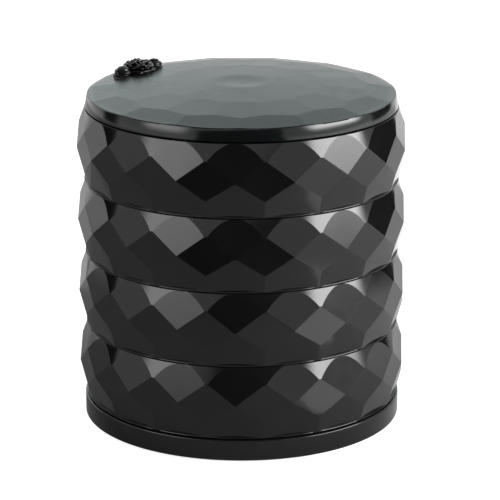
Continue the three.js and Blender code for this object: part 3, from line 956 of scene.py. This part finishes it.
def build_plinth():
    low, high, edge = plinth_low.z, plinth_high.z, plinth_edge
    profile = [(0, low), *arc((plinth_radius - edge, low + edge), edge, -90, 0, 6)]
    profile += [*arc((plinth_radius - edge, high - edge), edge, 0, 90, 6), (0, high)]
    plinth = turned("base_plinth_shell", profile, round_steps)
    cut(plinth, plinth_hollow(), rod_bore(0, high))
    head_radius, head_top = rod_head_radius + head_gap, rod_low.z + head_pocket_height
    cut(plinth, disc("pocket", head_radius, 0, head_top, small_steps, (pivot_x, pivot_y)))
    socket_radius, socket_top = foot_radius + soft_gap, foot_height + soft_gap
    sockets = disc("sockets", socket_radius, 0, socket_top, small_steps, (foot_circle, 0))
    grow(sockets, ring_of_copies, {"Count": foot_count, "First turn": foot_turn})
    cut(plinth, sockets)
    round_edges(clean(plinth), plinth_inner_edge, from_angle=40)
    return shade(clean(plinth), gloss_black, sharp_from=20)


dress(build_plinth(), "base", "gloss_black", "base_plinth")


# %% Feet
def build_foot(number):
    low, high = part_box(f"foot_{number}")
    centre = ((low.x + high.x) / 2, (low.y + high.y) / 2)
    inner = foot_radius - foot_edge
    profile = [(0, low.z), *arc((inner, low.z + foot_edge), foot_edge, -90, 0, 5)]
    profile += [*arc((inner, high.z - foot_edge), foot_edge, 0, 90, 5), (0, high.z)]
    foot = turned(f"foot_{number}_pad", profile, small_steps, centre)
    return shade(foot, foot_rubber, sharp_from=40)


for number in range(1, foot_count + 1):
    dress(build_foot(number), "base", "foot_rubber", f"foot_{number}")

# %% [markdown]
# ## Lid
# The lid has a smooth band and, on top, three rings of very flat facets round a shallow dish. The
# facets lean by a few degrees only, so their edges, left without a round, show on the real lid as
# soft changes of tone, not as lines. Only edges sharper than twelve degrees get a small round. The
# band leans in a little and turns over in a soft shoulder. That makes it mirror the lights as short
# gleams, where an upright band would be one even stripe.

# %% Lid sizes
lid_bottom = lid_low.z
band_height = 4.2 * MM
band_lean = math.radians(10)
shoulder_start = 3 * MM
shoulder_radius = 9.5 * MM
shoulder_overlap = 0.3 * MM
lid_facet_count = 15
lid_step = 2 * math.pi / lid_facet_count
half_step_share = math.cos(lid_step / 2)
outer_slope = 0.17
middle_slope = 0.08
inner_slope = 0.04
rim_rise = 0.55 * MM
lid_rim_radius = lid_radius - 1.7 * MM
lid_rim_height = band_height + rim_rise
middle_radius = lid_rim_radius - 8.2 * MM
middle_height = lid_rim_height + outer_slope * (lid_rim_radius - middle_radius * half_step_share)
inner_radius = middle_radius - 18.8 * MM
inner_height = middle_height + middle_slope * (middle_radius - inner_radius)
dish_radius = 9.3 * MM
dish_reach = 11.5 * MM
dish_depth = 0.35 * MM
lid_top = inner_height + inner_slope * (inner_radius * half_step_share - dish_radius)
recess_radius = lid_radius - 3.6 * MM
recess_depth = 3.6 * MM
recess_edge = 1 * MM
seat_thickness = 3.1 * MM
lid_edge = 0.36 * MM
band_margin = 0.5 * MM
lid_heights = (lid_rim_height, middle_height, inner_height, lid_top)
print("lid's corners rise to mm", [round(height / MM, 2) for height in lid_heights])

# %% Seat of the ornament in the lid
nut_corner_radius = 4.0415 * MM
nut_gap = 0.4 * MM
collar_wall = 0.7 * MM
collar_gap = 0.25 * MM
boss_wall = 2 * MM
finial_gap = 0.3 * MM

collar_inner = nut_corner_radius + nut_gap
collar_outer = collar_inner + collar_wall
pocket_radius = collar_outer + collar_gap
print("pocket radius mm", round(pocket_radius / MM, 3))


# %% Lid
def lid_band():
    """The band leans in a little and turns over into a soft shoulder under the facets."""
    start_radius = lid_radius - shoulder_start * math.tan(band_lean)
    centre_radius = start_radius - shoulder_radius * math.cos(band_lean)
    centre_height = shoulder_start - shoulder_radius * math.sin(band_lean)
    rise = lid_rim_height + shoulder_overlap - centre_height
    last = math.degrees(math.asin(rise / shoulder_radius))
    centre = (centre_radius, centre_height)
    return [(lid_radius, 0), *arc(centre, shoulder_radius, math.degrees(band_lean), last, 10)]


def lid_dome(name, rise=0.0):
    band = lid_band()
    profile = [(0, 0), *band, (band[-1][0], lid_top), (0, lid_top)]
    blank = turned(name, [(r, z + lid_bottom + rise) for r, z in profile], round_steps)
    base = lid_bottom + rise
    return grow(blank, faceted_body, {
        "Count": lid_facet_count,
        "Reach": 2 * lid_radius,
        "Upper turn": front + lid_step / 2,
        "Upper radius": lid_rim_radius,
        "Upper height": base + lid_rim_height,
        "Upper lean": math.atan2(1, outer_slope),
        "Middle turn": front,
        "Middle radius": middle_radius,
        "Middle height": base + middle_height,
        "Middle lean": math.atan2(1, middle_slope),
        "Lower turn": front + lid_step / 2,
        "Lower radius": inner_radius * half_step_share,
        "Lower height": base + inner_height,
        "Lower lean": math.atan2(1, inner_slope),
        "Finish": lid_black,
    })


def lid_dish():
    """A dip whose rim runs out level with the facets round it, so that no line shows."""
    steps = 24
    top = lid_bottom + lid_top
    above = top + overrun
    depth = dish_depth + inner_slope * dish_radius
    profile = []
    for i in range(steps + 1):
        radius = dish_reach * i / steps
        dip = depth * (1 - (i / steps) ** 2) ** 2
        profile.append((radius, top + inner_slope * (dish_radius - radius) - dip))
    return turned("dish", [*profile, (dish_reach, above), (0, above)], round_steps // 3)


def lid_underside():
    top = lid_bottom + recess_depth
    corner = (recess_radius - recess_edge, top - recess_edge)
    profile = [(0, lid_bottom - overrun), (recess_radius, lid_bottom - overrun)]
    profile += [*arc(corner, recess_edge, 0, 90, 6), (0, top)]
    recess = turned("recess", profile, round_steps)
    outer_radius, boss_foot = pocket_radius + boss_wall, lid_bottom - 2 * overrun
    centre = (pivot_x, pivot_y)
    return cut(recess, disc("boss", outer_radius, boss_foot, top + overrun, small_steps, centre))


def on_band(point):
    return point.z < lid_bottom + lid_rim_height - band_margin


def build_lid():
    lid = lid_dome("lid_shell")
    above = lid_bottom + lid_top + overrun
    seat, centre = lid_bottom + seat_thickness, (pivot_x, pivot_y)
    pocket = disc("pocket", pocket_radius, seat, above, small_steps, centre)
    cut(lid, lid_underside(), lid_dish(), pocket, rod_bore(lid_bottom, above))
    round_edges(clean(lid), lid_edge, from_angle=12, steps=3)
    shade(clean(lid), lid_black, sharp_from=0.7)
    soften(lid, near_pivot, up_to=8)
    return soften(lid, on_band, up_to=16)


dress(build_lid(), "lid_layer", "lid_black", "lid")

# %% [markdown]
# ## Rod, washers and nut
# One steel rod holds the stack: its head sits in the plinth, and a nut over a spring washer clamps
# the lid so that every layer swings stiffly and stays where it is put. Thin plastic washers
# keep the layers a hair apart. They hardly show, but they are what makes the box work.

# %% Turned parts of the pivot
rod_edge = 0.4 * MM
key_radius = 1.5 * MM
key_depth = 1.2 * MM
washer_count = 5


def build_rod():
    low, high, edge = rod_low.z, rod_high.z, rod_edge
    head_top = low + rod_head_height
    profile = [(0, low), *arc((rod_head_radius - edge, low + edge), edge, -90, 0, 4)]
    profile += [(rod_head_radius, head_top), (rod_radius, head_top)]
    profile += [(rod_radius, high - edge), (rod_radius - edge, high), (0, high)]
    rod = turned("pivot_rod_turned", profile, small_steps, (pivot_x, pivot_y))
    key = disc("key", key_radius, low - overrun, low + key_depth, 6, (pivot_x, pivot_y))
    return shade(clean(cut(rod, key)), rod_steel, sharp_from=30)


def build_washer(node, hole, material, steps=small_steps):
    low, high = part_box(node)
    radius = (high.x - low.x) / 2
    centre = (pivot_x, pivot_y)
    washer = disc(f"{node}_ring", radius, low.z, high.z, steps, centre)
    cut(washer, disc("hole", hole, low.z - overrun, high.z + overrun, small_steps, centre))
    round_edges(clean(washer), (high.z - low.z) / 5, from_angle=40)
    return shade(washer, material, sharp_from=30)


dress(build_rod(), "base", "rod_steel", "pivot_rod")
for number in range(1, washer_count + 1):
    node = f"friction_washer_{number}"
    dress(build_washer(node, bore_radius, washer_acetal), "base", "washer_acetal", node)
dress(build_washer("spring_washer", bore_radius, rod_steel), "base", "rod_steel", "spring_washer")
dress(build_washer("rod_nut", rod_radius, rod_steel, 6), "base", "rod_steel", "rod_nut")

# %% [markdown]
# ## Ornament
# A small rosette lies on a pad over the rod, with a rounded leaf at either side that is folded in
# shallow steps from its foot to its top. A petal is a cupped sheet with a rounded edge. It is made
# once for each whorl, and the tree that stands copies in a ring makes the whorl.

# %% Ornament sizes
finial_turn = math.radians(50)
pad_radius = pocket_radius + 0.6 * MM
pad_thickness = 1.5 * MM
pad_edge = 0.5 * MM
land_height = lid_bottom + middle_height + middle_slope * (middle_radius - pivot_radius)
pad_top = land_height + pad_thickness
socket_rise = 0.1 * MM
rosette_radius = pad_radius - 0.3 * MM
rosette_height = 3.1 * MM
bud_radius = 1 * MM
petal_thickness = 0.5 * MM
petal_edge = 0.2 * MM
petal_curl = 0.3
petal_lean = 0.3
petal_taper = 0.82
petal_droop = 0.42
petal_overlap = 1.25
WHORLS = [
    {"count": 8, "foot": 0.92, "tip": 1.16, "height": -0.3},
    {"count": 6, "foot": 0.86, "tip": 1.06, "height": 0.34},
    {"count": 5, "foot": 0.7, "tip": 0.92, "height": 0.62},
    {"count": 5, "foot": 0.5, "tip": 0.74, "height": 0.84},
    {"count": 4, "foot": 0.3, "tip": 0.5, "height": 0.96},
    {"count": 3, "foot": 0.1, "tip": 0.26, "height": 1.0},
]
leaf_length = 7.4 * MM
leaf_width = 7 * MM
leaf_height = 4.1 * MM
leaf_middle = pad_radius + 2.7 * MM
leaf_foot = lid_bottom + lid_rim_height + 1.05 * MM
leaf_folds = 13
leaf_fold_depth = 0.2 * MM
leaf_point = 0.1
print("petals:", sum(row["count"] for row in WHORLS), "pad top mm", round(pad_top / MM, 2))


# %% Petals and rosette
def petal(foot, tip, height, half_angle):
    """A cupped sheet from a foot circle out to a round tip, about the Z axis."""
    rows, columns = 14, 16
    points = []
    for offset in (0.0, petal_thickness):
        for j in range(rows + 1):
            rise = j / rows
            lean = petal_lean * rise
            spread = (1 - petal_curl) * math.sin(rise * math.pi / 2) + petal_curl * rise ** 5
            for i in range(columns + 1):
                across = 2 * i / columns - 1
                turn = across * half_angle * math.sqrt(1 - petal_taper * rise ** 4)
                radius = foot + (tip - foot) * spread - offset * math.cos(lean)
                level = 1 - petal_droop * across ** 2 * rise
                z = height * rise * level + offset * math.sin(lean)
                points.append((radius * math.cos(turn), radius * math.sin(turn), pad_top + z))
    return piece_from("petal", points, sheet_faces(rows, columns))


def sheet_faces(rows, columns):
    """Faces of a closed sheet whose points are listed as an outer grid and then an inner one."""
    wide = columns + 1
    inner = wide * (rows + 1)
    faces = []
    for j in range(rows):
        for i in range(columns):
            a = j * wide + i
            faces.append((a, a + 1, a + 1 + wide, a + wide))
            faces.append((inner + a, inner + a + wide, inner + a + 1 + wide, inner + a + 1))
        left, right = j * wide, j * wide + columns
        faces.append((left, left + wide, inner + left + wide, inner + left))
        faces.append((right, inner + right, inner + right + wide, right + wide))
    for i in range(columns):
        top = rows * wide + i
        faces.append((i, inner + i, inner + i + 1, i + 1))
        faces.append((top, top + 1, inner + top + 1, inner + top))
    return faces


def whorl(i, count, foot, tip, height):
    half_angle = petal_overlap * math.pi / count
    ring = petal(rosette_radius * foot, rosette_radius * tip, rosette_height * height, half_angle)
    round_edges(ring, petal_edge, from_angle=50)
    return grow(ring, ring_of_copies, {
        "Count": count,
        "First turn": i * math.pi / count,
        "Finish": finial_black,
    })


def build_rosette():
    bud = [(0, 0), (rosette_radius * WHORLS[2]["foot"], 0), (bud_radius, rosette_height * 0.6)]
    bud += arc((0, rosette_height - bud_radius), bud_radius, 10, 85, 8)
    bud.append((0, rosette_height))
    rosette = turned("finial_rosette_petals", [(r, z + pad_top) for r, z in bud], 48)
    gather(rosette, *[whorl(i, **row) for i, row in enumerate(WHORLS)])
    rosette.data.transform(Matrix.Translation((pivot_x, pivot_y, 0)))
    return shade(rosette, finial_black, sharp_from=35)


dress(build_rosette(), "lid_layer", "finial_black", "finial_rosette")


# %% Leaves, pad and collar
def leaf(turn):
    """Half an egg with a slight point and shallow folds, closed underneath, about the Z axis."""
    rows, columns = 44, 96
    points = []
    for j in range(rows):
        rise = j / rows * math.pi / 2
        for i in range(columns):
            around = 2 * math.pi * i / columns
            fold = leaf_fold_depth * math.sin(leaf_folds * rise + around) * math.cos(rise)
            along = leaf_length / 2 * math.cos(rise) + fold
            across = leaf_width / 2 * math.cos(rise) + fold
            tip = 1 + leaf_point * max(0.0, math.cos(around)) ** 8
            x = leaf_middle + along * math.cos(around) * tip
            z = leaf_foot + (leaf_height + fold) * math.sin(rise)
            points.append((x, across * math.sin(around), z))
    top = len(points)
    points += [(leaf_middle, 0, leaf_foot + leaf_height), (leaf_middle, 0, leaf_foot)]
    faces = []
    for i in range(columns):
        j = (i + 1) % columns
        for row in range(rows - 1):
            a, b = row * columns + i, row * columns + j
            faces.append((a, b, b + columns, a + columns))
        faces.append(((rows - 1) * columns + i, (rows - 1) * columns + j, top))
        faces.append((j, i, top + 1))
    made = piece_from("leaf", points, faces)
    made.data.transform(Matrix.Rotation(turn, 4, "Z"))
    return made


def build_finial_base():
    profile = [(0, leaf_foot), (pad_radius, leaf_foot)]
    profile += [*arc((pad_radius - pad_edge, pad_top - pad_edge), pad_edge, 0, 90, 6), (0, pad_top)]
    pad = turned("finial_base_leaves", profile, small_steps)
    join(pad, leaf(finial_turn), leaf(finial_turn + math.pi))
    pad.data.transform(Matrix.Translation((pivot_x, pivot_y, 0)))
    cut(pad, lid_dome("above", finial_gap))
    centre = (pivot_x, pivot_y)
    collar_bottom = lid_bottom + seat_thickness + collar_gap
    join(pad, disc("collar", collar_outer, collar_bottom, land_height, small_steps, centre))
    socket_top = rod_high.z + socket_rise
    cut(pad, disc("socket", collar_inner, lid_bottom, socket_top, small_steps, centre))
    return shade(clean(pad), leaf_black, sharp_from=35)


dress(build_finial_base(), "lid_layer", "finial_black", "finial_base")

# %% [markdown]
# ## Velvet liners
# A flocked pad lies on the floor of each tray. A cut disc would look like card: velvet on a thin
# foam has soft edges and a surface that isn't quite level. So the pad is turned with a rounded
# edge and many rings, cut round the pivot post with a flared cutter that leaves a rounded edge
# too, and its upper side is moved by a slow noise.


# %% Tray plan
def wall_block(name, start, end, profile, turn):
    """A wall that runs outwards from the axis. Its section is half widths at heights."""
    points, count = [], len(profile)
    swing = Matrix.Rotation(turn, 3, "Z")
    for x in (start, end):
        for side in (-1, 1):
            points += [swing @ Vector((x, side * half, z)) for half, z in profile]
    right, far, far_right = count, 2 * count, 3 * count
    faces = []
    for i in range(count - 1):
        faces.append((i, i + 1, right + i + 1, right + i))
        faces.append((far + i, far_right + i, far_right + i + 1, far + i + 1))
        faces.append((i, far + i, far + i + 1, i + 1))
        faces.append((right + i, right + i + 1, far_right + i + 1, far_right + i))
    last = count - 1
    faces.append((0, right, far_right, far))
    faces.append((last, far + last, far_right + last, right + last))
    return piece_from(name, points, faces)


def post_cutter(clearance, bottom, top, edge):
    """The pivot post and its web, larger by a clearance, and flared at the top."""
    start, above = bottom - overrun, top + overrun
    sizes = []
    for half in (boss_radius, web_width / 2):
        reach = half + clearance
        flare = arc((reach + edge, top - edge), edge, 180, 90, 5) if edge else []
        sizes.append([(reach, start), *flare, (reach + edge, above)])
    centre = (pivot_x, pivot_y)
    post = turned("post", [(0, start), *sizes[0], (0, above)], small_steps, centre)
    web = wall_block("web", pivot_radius, rim_radius + overrun, sizes[1], pivot_turn)
    return join(post, web)


def tray_plan(clearance, bottom, top):
    radius = floor_radius - floor_fillet - clearance
    plan = disc("plan", radius, bottom, top, round_steps // 2)
    return cut(plan, post_cutter(clearance, bottom, top, 0))


# %% Velvet liners
liner_base = liner_low.z - tray_low.z
liner_top = liner_high.z - tray_low.z
liner_edge = 0.5 * MM
pile_rise = 0.12 * MM
pile_wave = 9 * MM


def build_liner():
    rings = 40
    inner = floor_radius - floor_fillet - soft_gap - liner_edge
    profile = [(0, liner_base)]
    profile += arc((inner, liner_base + liner_edge), liner_edge, -90, 0, 4)
    profile += arc((inner, liner_top - liner_edge), liner_edge, 0, 90, 4)
    profile += [(inner * (1 - i / rings), liner_top) for i in range(1, rings + 1)]
    liner = turned("liner", profile, round_steps // 2)
    cut(liner, post_cutter(soft_gap, liner_base, liner_top, liner_edge))
    return clean(liner, flat=0)


def ruffle(piece, height, wave, seed):
    """Lowers the upper side by a slow noise, so that it never rises over its own outline."""
    shift = Vector((seed, seed, seed))
    for vertex in piece.data.vertices:
        upward = max(0.0, vertex.normal.z)
        vertex.co.z -= height * upward * (0.5 + 0.5 * noise.noise(vertex.co / wave + shift))
    return piece


liner_mould = ruffle(build_liner(), pile_rise, pile_wave, seed=3.0)
shade(liner_mould, grey_velvet, sharp_from=180)
for place, body in TRAYS.items():
    piece = raised(liner_mould, tray_bottoms[place], f"{place}_liner_pad")
    dress(piece, body, "grey_velvet", f"{place}_liner")
bpy.data.objects.remove(liner_mould)

# %% [markdown]
# ## Dividers
# Two trays have a loose divider of thin black walls on low feet. The walls are plain, so it is
# the small rounds along their edges that catch the light and make them look moulded.

# %% Dividers
divider_thickness = 1.6 * MM
divider_foot_width = 5 * MM
divider_foot_height = 1.2 * MM
divider_edge = 0.25 * MM
divider_gap = 0.5 * MM


def build_divider(node, turns):
    low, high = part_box(node)
    foot_top = low.z + divider_foot_height
    body = disc(f"{node}_walls", divider_foot_width / 2, low.z, high.z)
    for turn in turns:
        join(body, spoke("wall", 0, floor_radius, divider_thickness, low.z, high.z, turn))
        join(body, spoke("foot", 0, floor_radius, divider_foot_width, low.z, foot_top, turn))
    combine(body, "INTERSECT", tray_plan(divider_gap, low.z - overrun, high.z + overrun))
    round_edges(clean(body), divider_edge, from_angle=35)
    return shade(clean(body), divider_black, sharp_from=30)


for node, body, turns in (
    ("t_divider", "lower_layer", [0, math.pi, front]),
    ("cross_divider", "upper_layer", [0, math.pi / 2, math.pi, front]),
):
    dress(build_divider(node, turns), body, "divider_black", node)

# %% [markdown]
# ## Ring cushion
# Four foam rolls side by side, covered in the same velvet, hold rings in the slits between them.
# Each roll is crowned, its ends follow the round wall, and where two rolls meet their covers
# turn down into the slit. One outline across the rolls is repeated along the tray, and shrinks
# towards the ends of its line so that every roll closes in a soft nose.

# %% Ring cushion
cushion_rolls = 4
slit_width = 1 * MM
slit_depth = 8 * MM
crown_rise = 2.4 * MM
side_gap = 1.2 * MM
nose_length = 5 * MM
nose_low_share = 0.3
cover_rise = 0.3 * MM
cover_wave = 7 * MM


def cushion_outline(low, high):
    """Points across the rolls, from the back of the cushion to its front."""
    pitch = (high.y - low.y + slit_width) / cushion_rolls
    width = pitch - slit_width
    shoulder = high.z - crown_rise
    points = []
    for i in range(cushion_rolls):
        start = high.y - i * pitch
        foot = low.z if i == 0 else high.z - slit_depth
        points += [(start, foot + (shoulder - foot) * j / 4) for j in range(4)]
        for turn in range(0, 181, 9):
            angle = math.radians(turn)
            y = start - width / 2 * (1 - math.cos(angle))
            points.append((y, shoulder + crown_rise * math.sin(angle) ** 0.8))
        foot = low.z if i == cushion_rolls - 1 else high.z - slit_depth
        points += [(start - width, foot + (shoulder - foot) * j / 4) for j in range(3, -1, -1)]
    return points


def cushion_reach(y, radius):
    """How far a line across the tray runs before it meets the wall's round plan."""
    return math.sqrt(max(radius ** 2 - y ** 2, (2 * nose_length) ** 2))


def build_ring_cushion():
    low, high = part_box("ring_cushion")
    radius = floor_radius - floor_fillet - side_gap
    outline = cushion_outline(low, high)
    columns, count = 90, len(outline)
    points = []
    for i in range(columns + 1):
        share = -math.cos(math.pi * i / columns)
        for y, z in outline:
            x = share * cushion_reach(y, radius)
            inside = cushion_reach(y, radius) - abs(x)
            full = min(1.0, inside / nose_length)
            nose = nose_low_share + (1 - nose_low_share) * math.sqrt(1 - (1 - full) ** 2)
            points.append((x, y, low.z + (z - low.z) * nose))
    last = columns * count
    faces = [tuple(range(count)), tuple(range(last + count - 1, last - 1, -1))]
    for i in range(columns):
        for j in range(count):
            a, b = i * count + j, i * count + (j + 1) % count
            faces.append((b, a, a + count, b + count))
    cushion = piece_from("ring_cushion_rolls", points, faces)
    ruffle(cushion, cover_rise, cover_wave, seed=7.0)
    return shade(cushion, grey_velvet, sharp_from=180)


cushion = build_ring_cushion()
dress(cushion, "top_layer", "grey_velvet", "ring_cushion")

# %% [markdown]
# ## Floor and surroundings
# Black gloss shows its surroundings, so the surroundings are half of the finish. The floor and the
# background are white to the camera and in reflections. Two large soft boxes stand to the left
# and the right of the camera. Everything else here is a card, a mat, a reflector or a board that
# only reflections see, which is how a photographer shapes the tones of a gloss black piece. The
# reflector and the board glow, and the mat is painted paler on one side: these are painted light.


# %% White floor and background
def seen_directly(tree):
    """1 for camera, glossy and transmission rays, 0 for the rays that carry diffuse light."""
    path = put(tree, "ShaderNodeLightPath").outputs
    mirrored = calc(tree, "MAXIMUM", path["Is Glossy Ray"], path["Is Transmission Ray"])
    return calc(tree, "MAXIMUM", path["Is Camera Ray"], mirrored)


def build_floor():
    made, tree, shader = new_finish("pale_floor")
    shader.inputs["Base Color"].default_value = (0.8, 0.8, 0.8, 1)
    shader.inputs["Roughness"].default_value = 0.7
    shader.inputs["Specular IOR Level"].default_value = 0.1
    shader.inputs["Emission Color"].default_value = (1, 1, 1, 1)
    feed(tree, shader.inputs["Emission Strength"], calc(tree, "MULTIPLY", seen_directly(tree), 0.8))
    half = 4.0
    corners = [(-half, -half, 0), (half, -half, 0), (half, half, 0), (-half, half, 0)]
    floor = piece_from("floor", corners, [(0, 1, 2, 3)])
    floor.data.materials.append(made)


def build_world():
    world = bpy.data.worlds.new("white_surroundings")
    world.use_nodes = True
    bpy.context.scene.world = world
    tree = world.node_tree
    background = tree.nodes["Background"]
    background.inputs["Color"].default_value = (1, 1, 1, 1)
    feed(tree, background.inputs["Strength"], remap(tree, seen_directly(tree), 0.4, 1.0))


build_floor()
build_world()
print("world:", bpy.context.scene.world.name)


# %% Soft boxes
def around(azimuth, distance, height):
    """A place at an angle from the front of the box, in degrees towards +X."""
    turn = math.radians(azimuth) + front
    return Vector((distance * math.cos(turn), distance * math.sin(turn), height))


aim_height = 0.08


def add_soft_box(name, azimuth, distance, height, size, radiance, edge):
    """An area light that fades towards its edges, over a share of its width and of its height."""
    lamp = bpy.data.lights.new(name, "AREA")
    lamp.shape = "RECTANGLE"
    lamp.size, lamp.size_y = size
    lamp.energy = math.pi * size[0] * size[1] * radiance
    lamp.use_nodes = True
    tree = lamp.node_tree
    spot = put(tree, "ShaderNodeNewGeometry").outputs["Parametric"]
    apart = put(tree, "ShaderNodeSeparateXYZ", {}, {"Vector": spot}).outputs
    settings = {"interpolation_type": "SMOOTHSTEP"}
    sides = []
    for side, width in zip(("X", "Y"), edge):
        off_middle = calc(tree, "ABSOLUTE", calc(tree, "SUBTRACT", apart[side], 0.5))
        inward = calc(tree, "SUBTRACT", 0.5, off_middle)
        faded = put(tree, "ShaderNodeMapRange", settings, {"Value": inward, "From Max": width})
        sides.append(faded.outputs[0])
    feed(tree, tree.nodes["Emission"].inputs["Strength"], calc(tree, "MULTIPLY", *sides))
    box = bpy.data.objects.new(name, lamp)
    box.location = around(azimuth, distance, height)
    aim = Vector((0, 0, aim_height)) - box.location
    box.rotation_euler = aim.to_track_quat("-Z", "Y").to_euler()
    bpy.context.scene.collection.objects.link(box)
    print(name, "at", [round(x, 2) for x in box.location])


add_soft_box("right_soft_box", azimuth=71, distance=1.0, height=0.39, size=(1.0, 0.62),
             radiance=18.0, edge=(0.22, 0.4))
add_soft_box("left_soft_box", azimuth=-56, distance=1.0, height=0.34, size=(0.8, 0.62),
             radiance=5.0, edge=(0.3, 0.4))

# %% [markdown]
# ## Black cards
# In white surroundings a gloss black piece looks grey all over. Black cards behind the camera, at
# either side, overhead and on the table give the facets something dark to mirror, so that each
# facet gets a tone of its own. A fan-shaped card is easy to place: it covers a range of
# directions and distances from the box.


# %% Cards
def build_card_material(name, grey):
    """A matt card, a little uneven as painted board is."""
    made, tree, shader = new_finish(name)
    grain = effect(tree, fine_grain, Grain_size=0.01)
    light = (grey * 1.1, grey * 1.1, grey * 1.1)
    feed(tree, shader.inputs["Base Color"],
         blend_colours(tree, grain["Patches"], (grey, grey, grey), light))
    shader.inputs["Roughness"].default_value = 1.0
    shader.inputs["Specular IOR Level"].default_value = 0.0
    return made


def add_card(name, material, corners):
    card = piece_from(name, corners, [tuple(range(len(corners)))])
    card.data.materials.append(material)
    card.visible_camera = False
    card.visible_diffuse = False
    card.visible_transmission = False
    card.visible_shadow = False
    print("card:", name)


card_lift = 0.002
fan_steps = 12


def standing_card(name, first, last, distance, tops):
    low, high = (around(turn, distance, card_lift) for turn in (first, last))
    first_top, last_top = (Vector((0, 0, top)) for top in tops)
    add_card(name, card_black, [low, high, high + last_top, low + first_top])


def fan(first, last, near, far, height):
    """Corners of a flat card that covers a range of directions and distances from the box."""
    turns = [first + (last - first) * i / fan_steps for i in range(fan_steps + 1)]
    return [around(t, near, height) for t in turns] + [around(t, far, height) for t in turns[::-1]]


card_black = build_card_material("card_black", 0.004)

standing_card("front_card", first=-31, last=29, distance=1.3, tops=(0.40, 0.68))
standing_card("left_card", first=-98, last=-116, distance=0.9, tops=(0.3, 0.3))
standing_card("right_card", first=106, last=138, distance=0.9, tops=(0.28, 0.28))
ceiling = fan(first=-180, last=170, near=0.0, far=1.25, height=1.3)[fan_steps:]
add_card("ceiling_card", card_black, ceiling)
table = fan(first=-32, last=31, near=0.24, far=1.3, height=card_lift)
add_card("table_card", card_black, table)

# %% [markdown]
# ## Mats and a glowing reflector on the table
# The lower row of facets looks down and mirrors the table. A plain white table would make all of
# them bright, so a grey mat lies round the box. Its grey is painted paler to the right, painted
# light for where the larger soft box lights it more. A small glowing panel at the front right,
# painted light in place of a reflector, picks out the few facets that are brightest.

# %% Mats and glowing reflector
# Painted light: the span across X over which the mat's grey is painted pale.
mat_painted_light_span = {"From Min": -0.02, "From Max": 0.14}


def build_painted_light_mat_material():
    """Grey to the left and painted pale to the right, as painted light from the larger soft box."""
    made, tree, shader = new_finish("painted_light_mat")
    place = put(tree, "ShaderNodeTexCoord").outputs["Object"]
    across = put(tree, "ShaderNodeSeparateXYZ", {}, {"Vector": place}).outputs["X"]
    share = put(
        tree,
        "ShaderNodeMapRange",
        {"interpolation_type": "SMOOTHSTEP"},
        {"Value": across, **mat_painted_light_span},
    ).outputs[0]
    feed(tree, shader.inputs["Base Color"],
         blend_colours(tree, share, (0.5, 0.5, 0.5), (0.9, 0.9, 0.9)))
    shader.inputs["Roughness"].default_value = 1.0
    shader.inputs["Specular IOR Level"].default_value = 0.0
    return made


# The reflector glows by itself: painted light in place of the light that a real reflector bounces.
def build_glowing_reflector_material():
    made, _, shader = new_finish("glowing_reflector")
    shader.inputs["Base Color"].default_value = (0.8, 0.8, 0.8, 1)
    shader.inputs["Emission Color"].default_value = (1, 1, 1, 1)
    shader.inputs["Emission Strength"].default_value = 1.3
    return made


# This mat's colour holds painted light: it is paler to the right, where the larger soft box shines.
painted_light_mat = build_painted_light_mat_material()
pale_mat = build_card_material("pale_mat", 0.85)
# A glowing panel at the front right: painted light for a reflector's bounce.
glowing_reflector = build_glowing_reflector_material()
MATS = {
    "painted_light_mat": (painted_light_mat, fan(first=-125, last=148, near=0.05, far=0.8, height=0.001)),
    "painted_light_mat_behind": (painted_light_mat, fan(first=-190, last=-125, near=0.05, far=0.19, height=0.001)),
    "pale_mat": (pale_mat, fan(first=-190, last=-125, near=0.19, far=0.8, height=0.001)),
    "table_glowing_reflector": (glowing_reflector, fan(first=38, last=57, near=0.095, far=0.27, height=0.003)),
}
for name, (material, corners) in MATS.items():
    add_card(name, material, corners)

# %% [markdown]
# ## Glowing board behind the box
# The lid's top looks away from the camera, so it mirrors what stands behind the box. A board there
# glows a pale, slightly green grey, painted light in place of a lit board, and gives the top its
# cool grey. Its glow is painted brighter upwards from its foot, dimmer again higher up and brighter
# towards its left end, and that change is what sets the lid's flat facets apart.

# %% Glowing board
board_first, board_last = 155, 205
board_distance = 1.5
board_foot = 0.29
board_height = 1.05


def ramp(tree, value, start, end, low, high):
    """Goes from low to high as the value goes from start to end."""
    inputs = {"Value": value, "From Min": start, "From Max": end, "To Min": low, "To Max": high}
    return put(tree, "ShaderNodeMapRange", {}, inputs).outputs[0]


# The board's glow is painted light, in place of a board lit by the lamps.
def build_glowing_board_material():
    made, tree, shader = new_finish("glowing_board")
    patches = effect(tree, fine_grain, Grain_size=0.02)["Patches"]
    feed(tree, shader.inputs["Emission Color"],
         blend_colours(tree, patches, (0.64, 0.73, 0.725), (0.7, 0.79, 0.785)))
    place = put(tree, "ShaderNodeTexCoord").outputs["Object"]
    apart = put(tree, "ShaderNodeSeparateXYZ", {}, {"Vector": place}).outputs
    # Painted light: the glow rises above the foot, fades higher up and is stronger towards the left
    # end.
    rise = ramp(tree, apart["Z"], start=0.3, end=0.55, low=1.1, high=1.42)
    painted_dim_above = ramp(tree, apart["Z"], start=0.72, end=1.05, low=1.0, high=0.78)
    side = ramp(tree, apart["X"], start=-0.15, end=-0.02, low=1.18, high=1.0)
    painted_glow = calc(tree, "MULTIPLY", calc(tree, "MULTIPLY", rise, painted_dim_above), side)
    feed(tree, shader.inputs["Emission Strength"], painted_glow)
    shader.inputs["Base Color"].default_value = (0, 0, 0, 1)
    shader.inputs["Specular IOR Level"].default_value = 0.0
    return made


board_low = [around(turn, board_distance, board_foot) for turn in (board_first, board_last)]
board_high = [corner + Vector((0, 0, board_height)) for corner in reversed(board_low)]
add_card("glowing_board", build_glowing_board_material(), [*board_low, *board_high])
